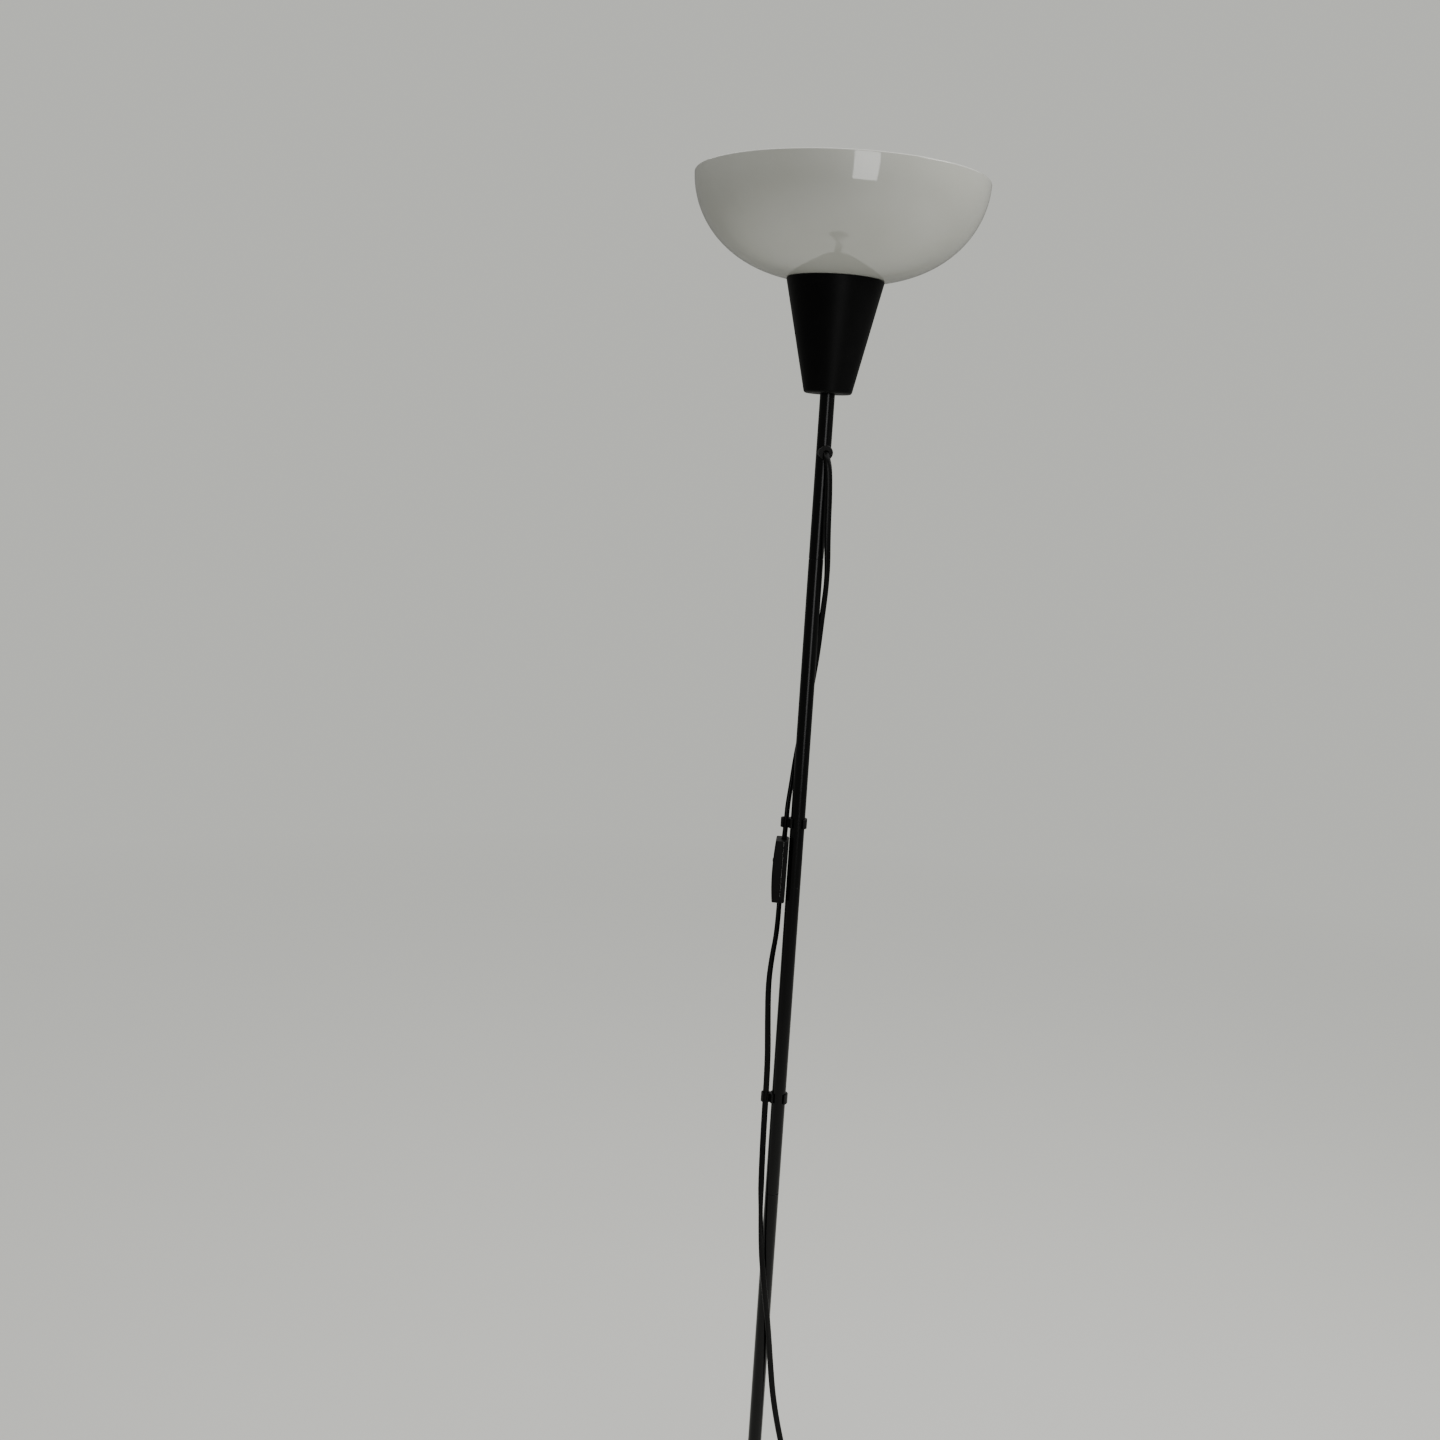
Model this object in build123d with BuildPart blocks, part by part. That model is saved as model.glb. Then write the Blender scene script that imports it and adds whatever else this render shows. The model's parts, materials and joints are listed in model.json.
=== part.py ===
from build123d import *

import math
import os

# Torchiere floor lamp: a weighted round base, a pole of screwed tube sections, a black cone that hides
# the lampholder, and an opal bowl that throws the light upwards. The lead leaves the top tube through
# a grommet, hangs beside the pole in two clips with an in-line switch, and ends in a two-pin plug.
# Units are millimetres, +Z is up, and the origin is on the floor at the centre of the base.

os.makedirs("parts", exist_ok=True)

# ------------------------------------------------------------------ driving sizes
base_radius = 140.0
base_height = 34.0  # top of the collar that the pole stands on
section_length = 343.0  # pitch of the equal pole sections
section_count = 4
top_tube_length = 164.5  # from the last pole joint up to the cone
tube_radius = 7.5
tube_wall = 1.0
cone_height = 110.0
cone_top_radius = 48.6
cone_foot_radius = 23.8
cone_wall = 2.0
shade_radius = 144.5
shade_depth = 97.3
shade_wall = 2.5
side_power = 2.55  # how square the bowl's shoulder is
floor_power = 1.97  # how flat the bowl's floor is
cord_radius = 3.1

# ------------------------------------------------------------------ clearances
press_gap = 0.02
running_gap = 0.05
thread_gap = 0.08
loose_gap = 0.3
near = 0.1  # how close two places are when they count as the same

# ------------------------------------------------------------------ base
foot_height = 3.2
foot_radius = 8.0
foot_count = 6
foot_rounding = 0.8
foot_circle = 118.0
plate_thickness = 1.5
plate_radius = 135.0
weight_thickness = 7.5
weight_radius = 132.0
weight_rounding = 2.0
cover_wall = 2.2
cover_skirt_z = 1.0
cover_edge_z = 16.5
cover_crown_z = 24.0
cover_shoulder = 7.0  # rounding of the cover's outer edge
cover_shoulder_inside = 5.0
collar_root = 5.0  # rounding where the collar grows out of the cover
collar_lip = 1.5
collar_radius = 13.0
base_bolt_radius = 4.0
base_bolt_reach = 14.0  # how far the bolt goes into the lowest tube insert
bolt_head_flat = 13.0
bolt_head_height = 5.3
bolt_hole_radius = base_bolt_radius + 0.3
washer_thickness = 1.6
base_washer_radius = 9.0
recess_radius = 13.0
recess_depth = 4.0
plate_screw_count = 3
plate_screw_circle = 90.0
plate_screw_radius = 2.0
plate_screw_length = 6.0
plate_screw_start = 30.0  # direction of the first one, in degrees from +X
plate_screw_head_radius = 3.6
plate_screw_head_height = 1.6

plate_top = foot_height + plate_thickness
weight_top = plate_top + weight_thickness
recess_top = plate_top + recess_depth
bolt_seat = recess_top - washer_thickness


def keep(builder, node):
    """Names a finished piece and writes it as one file."""
    builder.part.label = node
    export_step(builder.part, f"parts/{node}.step")


with BuildPart() as base_feet:
    with BuildSketch():
        with PolarLocations(foot_circle, foot_count):
            Circle(foot_radius)
    extrude(amount=foot_height)
    fillet(base_feet.edges().group_by(Axis.Z)[0], foot_rounding)
keep(base_feet, "base_feet")

with BuildPart() as base_plate:
    with BuildSketch(Plane.XY.offset(foot_height)):
        Circle(plate_radius)
        Circle(recess_radius, mode=Mode.SUBTRACT)
        with PolarLocations(plate_screw_circle, plate_screw_count, start_angle=plate_screw_start):
            Circle(plate_screw_radius + running_gap, mode=Mode.SUBTRACT)
    extrude(amount=plate_thickness)
keep(base_plate, "base_plate")

with BuildPart() as base_weight:
    with BuildSketch(Plane.XY.offset(plate_top)):
        Circle(weight_radius)
    extrude(amount=weight_thickness)
    fillet(base_weight.edges().group_by(Axis.Z)[-1], weight_rounding)
    with BuildSketch(Plane.XY.offset(plate_top)):
        Circle(recess_radius)
    extrude(amount=recess_depth, mode=Mode.SUBTRACT)
    with BuildSketch(Plane.XY.offset(recess_top)):
        Circle(bolt_hole_radius)
    extrude(amount=weight_thickness, mode=Mode.SUBTRACT)
    with BuildSketch(Plane.XY.offset(plate_top)):
        with PolarLocations(plate_screw_circle, plate_screw_count, start_angle=plate_screw_start):
            Circle(plate_screw_radius + running_gap)
    extrude(amount=plate_screw_length, mode=Mode.SUBTRACT)
keep(base_weight, "base_weight")

with BuildPart() as plate_screws:
    with BuildSketch(Plane.XY.offset(foot_height - plate_screw_head_height)):
        with PolarLocations(plate_screw_circle, plate_screw_count, start_angle=plate_screw_start):
            Circle(plate_screw_head_radius)
    extrude(amount=plate_screw_head_height)
    with BuildSketch(Plane.XY.offset(foot_height)):
        with PolarLocations(plate_screw_circle, plate_screw_count, start_angle=plate_screw_start):
            Circle(plate_screw_radius)
    extrude(amount=plate_screw_length)
keep(plate_screws, "plate_screws")

with BuildPart() as base_cover:
    with BuildSketch(Plane.XZ) as cover_outline:
        with BuildLine():
            Polyline(
                (bolt_hole_radius, weight_top),
                (collar_radius, weight_top),
                (collar_radius, cover_crown_z - cover_wall),
                (base_radius - cover_wall, cover_edge_z - cover_wall),
                (base_radius - cover_wall, cover_skirt_z),
                (base_radius, cover_skirt_z),
                (base_radius, cover_edge_z),
                (collar_radius, cover_crown_z),
                (collar_radius, base_height),
                (bolt_hole_radius, base_height),
                close=True,
            )
        make_face()
        rim = cover_outline.vertices().sort_by(lambda v: v.X**2 + v.Y**2)
        half_up = cover_crown_z / 2
        outer_rim = [v for v in rim if v.X > base_radius - near and v.Y > half_up]
        inner_rim = [v for v in rim if abs(v.X - base_radius + cover_wall) < near and v.Y > half_up]
        neck = [v for v in rim if abs(v.X - collar_radius) < near and abs(v.Y - cover_crown_z) < near]
        lip = [v for v in rim if abs(v.X - collar_radius) < near and v.Y > base_height - near]
        fillet(outer_rim, cover_shoulder)
        fillet(inner_rim, cover_shoulder_inside)
        fillet(neck, collar_root)
        fillet(lip, collar_lip)
    revolve(axis=Axis.Z)
keep(base_cover, "base_cover")

with BuildPart() as base_washer:
    with BuildSketch(Plane.XY.offset(bolt_seat)):
        Circle(base_washer_radius)
        Circle(bolt_hole_radius, mode=Mode.SUBTRACT)
    extrude(amount=washer_thickness)
keep(base_washer, "base_washer")

with BuildPart() as base_bolt:
    with BuildSketch(Plane.XY.offset(bolt_seat - bolt_head_height)):
        RegularPolygon(bolt_head_flat / 2, 6, major_radius=False)
    extrude(amount=bolt_head_height)
    with BuildSketch(Plane.XY.offset(bolt_seat)):
        Circle(base_bolt_radius)
    extrude(amount=base_height + base_bolt_reach - bolt_seat)
keep(base_bolt, "base_bolt")

# ------------------------------------------------------------------ pole
shoulder = 0.8  # the thin collar of each stud, seen as a fine line between two sections
shoulder_step = 0.4  # how far it lies inside the tube's face
shoulder_radius = tube_radius - shoulder_step
bore_radius = tube_radius - tube_wall
insert_length = 20.0
stud_radius = base_bolt_radius
stud_reach = 14.0
exit_drop = 58.0  # the cord hole, below the cone
exit_turn = -72.0  # direction of the cord hole about the pole, from +X
exit_hole_side = 1.1  # between the cord hole's edge and the side of the tube's bore
exit_hole_radius = bore_radius - exit_hole_side

joint_z = [base_height + i * section_length for i in range(section_count + 1)]
cone_foot_z = joint_z[-1] + top_tube_length
tube_seat = 1.5  # how far the tube is let into the cone's floor
top_tube_end = cone_foot_z + tube_seat
exit_z = cone_foot_z - exit_drop
exit_plane = Plane(
    origin=(0, 0, exit_z),
    x_dir=(0, 0, 1),
    z_dir=(math.cos(math.radians(exit_turn)), math.sin(math.radians(exit_turn)), 0),
)

for number in range(section_count):
    foot = joint_z[number] + (shoulder if number else 0.0)
    with BuildPart() as tube_section:
        with BuildSketch(Plane.XY.offset(foot)):
            Circle(tube_radius)
            Circle(bore_radius, mode=Mode.SUBTRACT)
        extrude(amount=joint_z[number + 1] - foot)
    keep(tube_section, f"tube_section_{number + 1}")

with BuildPart() as top_tube:
    with BuildSketch(Plane.XY.offset(joint_z[-1] + shoulder)):
        Circle(tube_radius)
        Circle(bore_radius, mode=Mode.SUBTRACT)
    extrude(amount=top_tube_end - joint_z[-1] - shoulder)
    with BuildSketch(exit_plane):
        Circle(exit_hole_radius)
    extrude(amount=tube_radius + 1, mode=Mode.SUBTRACT)
keep(top_tube, "top_tube")

# Female inserts: one in the top of each equal section, and one in the foot of the lowest.
insert_z = [z - insert_length for z in joint_z[1:]] + [joint_z[0]]
with BuildPart() as tube_inserts:
    for z in insert_z:
        with BuildSketch(Plane.XY.offset(z)):
            Circle(bore_radius - press_gap)
            Circle(stud_radius + thread_gap, mode=Mode.SUBTRACT)
        extrude(amount=insert_length)
keep(tube_inserts, "tube_inserts")

# Male studs: a plug pressed into the foot of the upper tube, a thin collar, and the thread below it.
with BuildPart() as tube_studs:
    for z in joint_z[1:]:
        with BuildSketch(Plane.XY.offset(z - stud_reach)):
            Circle(stud_radius)
        extrude(amount=stud_reach)
        with BuildSketch(Plane.XY.offset(z)):
            Circle(shoulder_radius)
        extrude(amount=shoulder)
        with BuildSketch(Plane.XY.offset(z + shoulder)):
            Circle(bore_radius - press_gap)
        extrude(amount=insert_length)
keep(tube_studs, "tube_studs")

# ------------------------------------------------------------------ cone and its fixing
cone_floor = 4.0
cone_rounding = 3.0
cone_edge_rounding = 0.8
cone_foot_inside = 1.0  # how much thicker the cone's wall is at its foot
cone_washer_radius = 10.0
nipple_radius = 5.0
nipple_bore = 3.5
top_insert_length = 18.0
nut_flat = 14.0
nut_height = 4.0
seat_gap = 0.25  # between the cone's edge and the bowl's underside
seat_radius = 34.0  # the flat round seat in the bowl's floor
flange_radius = 24.0
flange_thickness = 3.0
skirt_radius = 19.8
shade_hole_radius = skirt_radius + 0.5
rim_bead = 0.8
bead_rounding = 0.56


def bowl_drop(radius):
    """How far the bowl's outer face lies below its rim at a radius."""
    return shade_depth * (1 - (radius / shade_radius) ** side_power) ** (1 / floor_power)


cone_top_z = cone_foot_z + cone_height
rim_z = cone_top_z + seat_gap + bowl_drop(cone_top_radius - cone_wall)
seat_z = rim_z - bowl_drop(seat_radius)

with BuildPart() as socket_cone:
    with BuildSketch(Plane.XZ) as cone_outline:
        with BuildLine():
            Polyline(
                (nipple_radius + running_gap, cone_foot_z),
                (cone_foot_radius, cone_foot_z),
                (cone_top_radius, cone_top_z),
                (cone_top_radius - cone_wall, cone_top_z),
                (cone_foot_radius - cone_wall + cone_foot_inside, cone_foot_z + cone_floor),
                (nipple_radius + running_gap, cone_foot_z + cone_floor),
                close=True,
            )
        make_face()
        corners = cone_outline.vertices()
        foot_corner = [v for v in corners if v.Y < cone_foot_z + near and v.X > cone_foot_radius - near]
        top_corner = [v for v in corners if v.Y > cone_top_z - near and v.X > cone_top_radius - near]
        fillet(foot_corner, cone_rounding)
        fillet(top_corner, cone_edge_rounding)
    revolve(axis=Axis.Z)
    with BuildSketch(Plane.XY.offset(cone_foot_z)):
        Circle(tube_radius + loose_gap / 2)
    extrude(amount=tube_seat, mode=Mode.SUBTRACT)
keep(socket_cone, "socket_cone")

with BuildPart() as top_insert:
    with BuildSketch(Plane.XY.offset(top_tube_end - top_insert_length)):
        Circle(bore_radius - press_gap)
        Circle(nipple_radius + thread_gap, mode=Mode.SUBTRACT)
    extrude(amount=top_insert_length)
keep(top_insert, "top_insert")

with BuildPart() as cone_washer:
    with BuildSketch(Plane.XY.offset(cone_foot_z + cone_floor)):
        Circle(cone_washer_radius)
        Circle(nipple_radius + loose_gap / 2, mode=Mode.SUBTRACT)
    extrude(amount=washer_thickness)
keep(cone_washer, "cone_washer")

with BuildPart() as cone_nut:
    with BuildSketch(Plane.XY.offset(cone_foot_z + cone_floor + washer_thickness)):
        RegularPolygon(nut_flat / 2, 6, major_radius=False)
        Circle(nipple_radius + thread_gap, mode=Mode.SUBTRACT)
    extrude(amount=nut_height)
keep(cone_nut, "cone_nut")

# ------------------------------------------------------------------ lampholder
skirt_reach = 16.0  # above the seat
shell_drop = 30.0  # the shell's foot, below the seat
shell_radius = 19.2
socket_bore = 14.6
insert_drop = 20.0  # the contact block's top, below the seat
block_radius = 16.8
cap_drop = 56.0  # the cap's foot, below the seat
cap_neck_radius = 9.5
cap_neck = 6.0
cap_slope = 7.0  # height of the cap's straight rim, below the shell
cap_wall = 1.6
cap_inside = 6.0  # depth of the straight part of the cap's hollow
cap_floor = 3.0
sleeve_outer = 14.2
sleeve_inner = 13.6
sleeve_rise = 6.0  # above the seat
ring_height = 8.0
ring_radius = 27.0
tip_drop = 15.0  # the bulb's contact, below the seat

with BuildPart() as lampholder_shell:
    with BuildSketch(Plane.XZ):
        with BuildLine():
            Polyline(
                (socket_bore, seat_z - insert_drop),
                (socket_bore, seat_z + skirt_reach),
                (skirt_radius, seat_z + skirt_reach),
                (skirt_radius, seat_z),
                (flange_radius, seat_z),
                (flange_radius, seat_z - flange_thickness),
                (shell_radius, seat_z - flange_thickness),
                (shell_radius, seat_z - shell_drop),
                (block_radius + running_gap, seat_z - shell_drop),
                (block_radius + running_gap, seat_z - insert_drop),
                close=True,
            )
        make_face()
    revolve(axis=Axis.Z)
keep(lampholder_shell, "lampholder_shell")

with BuildPart() as lampholder_cap:
    with BuildSketch(Plane.XZ):
        with BuildLine():
            Polyline(
                (nipple_radius + thread_gap, seat_z - cap_drop),
                (cap_neck_radius, seat_z - cap_drop),
                (cap_neck_radius, seat_z - cap_drop + cap_neck),
                (shell_radius, seat_z - shell_drop - cap_slope),
                (shell_radius, seat_z - shell_drop),
                (block_radius - cap_wall, seat_z - shell_drop),
                (block_radius - cap_wall, seat_z - shell_drop - cap_inside),
                (nipple_radius + thread_gap, seat_z - cap_drop + cap_neck + cap_floor),
                close=True,
            )
        make_face()
    revolve(axis=Axis.Z)
keep(lampholder_cap, "lampholder_cap")

terminal_spot = 9.0
terminal_radius = 1.5
terminal_depth = 6.0
terminal_head_radius = 2.6
terminal_head_height = 1.6
with BuildPart() as contact_block:
    with BuildSketch(Plane.XY.offset(seat_z - shell_drop)):
        Circle(block_radius)
        with Locations((terminal_spot, 0), (-terminal_spot, 0)):
            Circle(terminal_radius + near, mode=Mode.SUBTRACT)
    extrude(amount=shell_drop - insert_drop)
keep(contact_block, "contact_block")

with BuildPart() as terminal_screws:
    with BuildSketch(Plane.XY.offset(seat_z - shell_drop)):
        with Locations((terminal_spot, 0), (-terminal_spot, 0)):
            Circle(terminal_radius)
    extrude(amount=terminal_depth)
    with BuildSketch(Plane.XY.offset(seat_z - shell_drop - terminal_head_height)):
        with Locations((terminal_spot, 0), (-terminal_spot, 0)):
            Circle(terminal_head_radius)
    extrude(amount=terminal_head_height)
keep(terminal_screws, "terminal_screws")

with BuildPart() as screw_sleeve:
    with BuildSketch(Plane.XY.offset(seat_z - insert_drop)):
        Circle(sleeve_outer)
        Circle(sleeve_inner, mode=Mode.SUBTRACT)
    extrude(amount=insert_drop + sleeve_rise)
keep(screw_sleeve, "screw_sleeve")

contact_reach = 8.0  # half its length
contact_top = 3.5  # half its raised middle
contact_width = 6.0
contact_sheet = 0.6
with BuildPart() as centre_contact:
    with BuildSketch(Plane.XZ):
        with BuildLine():
            Polyline(
                (-contact_reach, seat_z - insert_drop),
                (contact_reach, seat_z - insert_drop),
                (contact_reach, seat_z - insert_drop + contact_sheet),
                (contact_top, seat_z - tip_drop - loose_gap),
                (-contact_top, seat_z - tip_drop - loose_gap),
                (-contact_reach, seat_z - insert_drop + contact_sheet),
                close=True,
            )
        make_face()
    extrude(amount=contact_width / 2, both=True)
keep(centre_contact, "centre_contact")

with BuildPart() as cap_nut:
    with BuildSketch(Plane.XY.offset(seat_z - cap_drop - nut_height)):
        RegularPolygon(nut_flat / 2, 6, major_radius=False)
        Circle(nipple_radius + thread_gap, mode=Mode.SUBTRACT)
    extrude(amount=nut_height)
keep(cap_nut, "cap_nut")

nipple_short = 2.0  # how far the nipple stops above its insert's foot
nipple_foot_z = top_tube_end - top_insert_length + nipple_short
with BuildPart() as threaded_nipple:
    with BuildSketch(Plane.XY.offset(nipple_foot_z)):
        Circle(nipple_radius)
        Circle(nipple_bore, mode=Mode.SUBTRACT)
    extrude(amount=seat_z - cap_drop + cap_neck - nipple_foot_z)
keep(threaded_nipple, "threaded_nipple")

# ------------------------------------------------------------------ shade and its ring
profile_steps = 14


def bowl_outline(wall):
    """Points of the bowl's face, rim to seat, at a depth of wall inside its outer face."""
    radius, depth = shade_radius - wall, shade_depth - wall
    start = math.acos((seat_radius / radius) ** (side_power / 2))
    points = []
    for step in range(profile_steps + 1):
        angle = start * step / profile_steps
        across = radius * math.cos(angle) ** (2 / side_power)
        points.append((across, rim_z - depth * math.sin(angle) ** (2 / floor_power)))
    return points


with BuildPart() as shade:
    outer = bowl_outline(0.0)
    inner = bowl_outline(shade_wall)
    with BuildSketch(Plane.XZ):
        with BuildLine():
            Spline(*outer)
            Line(outer[-1], (shade_hole_radius, outer[-1][1]))
            Line((shade_hole_radius, outer[-1][1]), (shade_hole_radius, inner[-1][1]))
            Line((shade_hole_radius, inner[-1][1]), inner[-1])
            Spline(*inner[::-1])
            Line(inner[0], outer[0])
        make_face()
    revolve(axis=Axis.Z)
    with BuildSketch(Plane.XY.offset(rim_z - 2 * rim_bead)):
        Circle(shade_radius + rim_bead)
        Circle(shade_radius - shade_wall + rim_bead / 2, mode=Mode.SUBTRACT)
    extrude(amount=2 * rim_bead)
    bead_edges = shade.edges().filter_by(GeomType.CIRCLE).group_by(SortBy.RADIUS)[-1]
    fillet(bead_edges, bead_rounding)
keep(shade, "shade")

floor_top = rim_z - (shade_depth - shade_wall) * math.sin(
    math.acos((seat_radius / (shade_radius - shade_wall)) ** (side_power / 2))
) ** (2 / floor_power)
grip_count = 24
grip_radius = 1.2
with BuildPart() as shade_ring:
    with BuildSketch(Plane.XY.offset(floor_top)):
        Circle(ring_radius)
        with PolarLocations(ring_radius, grip_count):
            Circle(grip_radius, mode=Mode.SUBTRACT)
        Circle(skirt_radius + thread_gap, mode=Mode.SUBTRACT)
    extrude(amount=ring_height)
keep(shade_ring, "shade_ring")

# ------------------------------------------------------------------ bulb
tip_z = seat_z - tip_drop
tip_height = 1.8
tip_radius = 4.6
collar_height = 4.5  # glass collar below the bulb's screw cap
cap_top = 26.0
neck_top = 34.0
globe_foot = 62.0
bulb_height = 104.0
globe_radius = 30.0
cap_radius = 13.2
thread_depth = 0.9
cap_sheet = 0.7
collar_glass_radius = 11.0
housing_wall = 1.8
housing_floor = 1.6
housing_rim = 1.0  # how far its edge lies inside the globe
led_plate_radius = 28.0
led_plate_thickness = 1.6
neck_radius = 13.7

with BuildPart() as bulb_tip:
    with BuildSketch(Plane.XY.offset(tip_z)):
        Circle(tip_radius)
    extrude(amount=tip_height)
keep(bulb_tip, "bulb_tip")

with BuildPart() as bulb_collar:
    with BuildSketch(Plane.XZ):
        with BuildLine():
            Polyline(
                (0, tip_z + tip_height),
                (tip_radius, tip_z + tip_height),
                (collar_glass_radius, tip_z + collar_height),
                (0, tip_z + collar_height),
                close=True,
            )
        make_face()
    revolve(axis=Axis.Z)
keep(bulb_collar, "bulb_collar")

thread_pitch = 3.62
thread_turns = 5
thread_rounding = 0.7
first_turn = 2.6  # height of the first turn above the glass collar
with BuildPart() as bulb_cap:
    with BuildSketch(Plane.XY.offset(tip_z + collar_height)):
        Circle(cap_radius - thread_depth)
    extrude(amount=cap_top - collar_height)
    for turn in range(thread_turns):
        with BuildSketch(Plane.XY.offset(tip_z + collar_height + first_turn + turn * thread_pitch)):
            Circle(cap_radius)
        extrude(amount=thread_pitch / 2)
    fillet(bulb_cap.edges().filter_by(GeomType.CIRCLE).group_by(SortBy.RADIUS)[-1], thread_rounding)
    with BuildSketch(Plane.XY.offset(tip_z + collar_height + cap_sheet)):
        Circle(cap_radius - thread_depth - cap_sheet)
    extrude(amount=cap_top, mode=Mode.SUBTRACT)
keep(bulb_cap, "bulb_cap")

with BuildPart() as bulb_housing:
    with BuildSketch(Plane.XZ):
        with BuildLine():
            Polyline(
                (0, tip_z + cap_top),
                (neck_radius, tip_z + cap_top),
                (neck_radius, tip_z + neck_top),
                (globe_radius - housing_rim, tip_z + globe_foot),
                (globe_radius - housing_rim - led_plate_thickness, tip_z + globe_foot),
                (neck_radius - housing_wall, tip_z + neck_top + housing_wall),
                (neck_radius - housing_wall, tip_z + cap_top + housing_floor),
                (0, tip_z + cap_top + housing_floor),
                close=True,
            )
        make_face()
    revolve(axis=Axis.Z)
keep(bulb_housing, "bulb_housing")

with BuildPart() as led_plate:
    with BuildSketch(Plane.XY.offset(tip_z + globe_foot)):
        Circle(led_plate_radius)
    extrude(amount=led_plate_thickness)
keep(led_plate, "led_plate")

globe_centre_z = tip_z + bulb_height - globe_radius
globe_wall = 1.2
globe_taper = 0.6  # how much narrower the globe is at its foot
half_turn = math.sqrt(0.5)
with BuildPart() as bulb_globe:
    with BuildSketch(Plane.XZ):
        with BuildLine():
            outer_r = globe_radius
            inner_r = globe_radius - globe_wall
            Line((outer_r - globe_taper, tip_z + globe_foot), (outer_r, globe_centre_z))
            ThreePointArc(
                (outer_r, globe_centre_z),
                (outer_r * half_turn, globe_centre_z + outer_r * half_turn),
                (0, globe_centre_z + outer_r),
            )
            Line((0, globe_centre_z + outer_r), (0, globe_centre_z + inner_r))
            ThreePointArc(
                (0, globe_centre_z + inner_r),
                (inner_r * half_turn, globe_centre_z + inner_r * half_turn),
                (inner_r, globe_centre_z),
            )
            Line((inner_r, globe_centre_z), (inner_r - globe_taper, tip_z + globe_foot))
            Line((inner_r - globe_taper, tip_z + globe_foot), (outer_r - globe_taper, tip_z + globe_foot))
        make_face()
    revolve(axis=Axis.Z)
keep(bulb_globe, "bulb_globe")

# ------------------------------------------------------------------ cords
# Each route is a list of points chosen by hand. The tube runs straight between them, and every corner
# is an arc as large as its two runs allow.
total_lead = 3320.0  # from the grommet to the plug
lead_below_block = 8.0  # where the inner lead ends, under the contact block
switch_z = 1080.5
switch_half = 7.6  # half its thickness
switch_clear = 0.6  # between its back and the pole
switch_x = -(tube_radius + switch_clear + switch_half)
switch_length = 66.0
switch_tilt = -0.5  # degrees, head towards the pole
lead_x = -13.2
lead_offset = lead_x - switch_x  # the lead lies on the switch's parting plane, beside its middle


def around(distance, z):
    """A point at a distance from the pole's axis, in the direction of the cord hole."""
    turn = math.radians(exit_turn)
    return (distance * math.cos(turn), distance * math.sin(turn), z)


inner_points = [
    around(7.2, exit_z),
    around(0.0, exit_z + 7.2),
    (0.0, 0.0, seat_z - shell_drop - lead_below_block),
]
upper_points = [
    around(7.2, exit_z),
    around(11.0, exit_z - 3.8),
    (4.6, -11.6, exit_z - 14.0),
    (7.6, -11.8, 1474.0),
    (9.8, -9.4, 1430.0),
    (12.8, -3.6, 1389.0),
    (11.6, 2.8, 1350.0),
    (8.2, 8.4, 1305.0),
    (2.6, 12.2, 1262.0),
    (-3.6, 12.0, 1220.0),
    (-8.4, 8.4, 1184.0),
    (-12.3, 1.4, 1148.0),
    (-12.9, 0.0, 1111.5),
]
lower_points = [
    (-13.5, 0.0, 1049.5),
    (-13.4, 0.0, 1016.0),
    (-17.4, -0.5, 984.0),
    (-19.2, -0.8, 955.0),
    (-17.2, -0.4, 915.0),
    (-14.1, 0.2, 868.0),
    (-13.8, 0.0, 802.0),
    (-12.9, -3.4, 748.0),
    (-11.0, -7.6, 700.0),
    (-7.0, -10.8, 655.0),
    (-0.5, -12.0, 610.0),
    (6.6, -10.6, 566.0),
    (11.4, -7.4, 522.0),
    (17.4, -5.2, 478.0),
    (29.5, -2.0, 424.0),
    (46.0, 4.0, 366.0),
    (64.0, 14.0, 306.0),
    (84.0, 28.0, 246.0),
    (106.0, 46.0, 188.0),
    (130.0, 66.0, 134.0),
    (150.0, 90.0, 86.0),
    (163.0, 115.0, 46.0),
    (167.0, 143.0, 16.0),
    (162.0, 172.0, 3.3),
    (146.0, 198.0, 3.3),
    (120.0, 217.0, 3.3),
    (90.0, 226.0, 3.4),
    (62.0, 227.0, 4.2),
]
tail_points = [
    (44.0, 226.5, 15.0),
    (24.0, 228.0, 11.0),
    (3.0, 225.0, 7.6),
    (-17.0, 222.0, 6.85),
    (-36.0, 221.6, 6.85),
]


def bend_radii(points):
    """The largest arc for each corner of a route: 0.45 of its shorter run over tan(half the turn)."""
    radii = []
    for before, here, after in zip(points, points[1:], points[2:]):
        run_in = Vector(*here) - Vector(*before)
        run_out = Vector(*after) - Vector(*here)
        turn = math.radians(run_in.get_angle(run_out))
        radii.append(0.45 * min(run_in.length, run_out.length) / math.tan(turn / 2))
    return radii


cord_lengths = {}
for node, points in (
    ("inner_lead", inner_points),
    ("cord_upper", upper_points),
    ("cord_lower", lower_points),
    ("cord_tail", tail_points),
):
    radii = bend_radii(points)
    with BuildPart() as cord:
        with BuildLine():
            route = FilletPolyline(*points, radius=radii)
        with BuildSketch(Plane(origin=route @ 0, z_dir=route % 0)):
            Circle(cord_radius)
        sweep(path=route)
    keep(cord, node)
    cord_lengths[node] = route.length
    ratio = cord.part.volume / (math.pi * cord_radius**2 * route.length)
    print(node, "length", round(route.length, 1), "volume over section times length", round(ratio, 4))
    print("  radii", [round(r) for r in radii])

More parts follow.
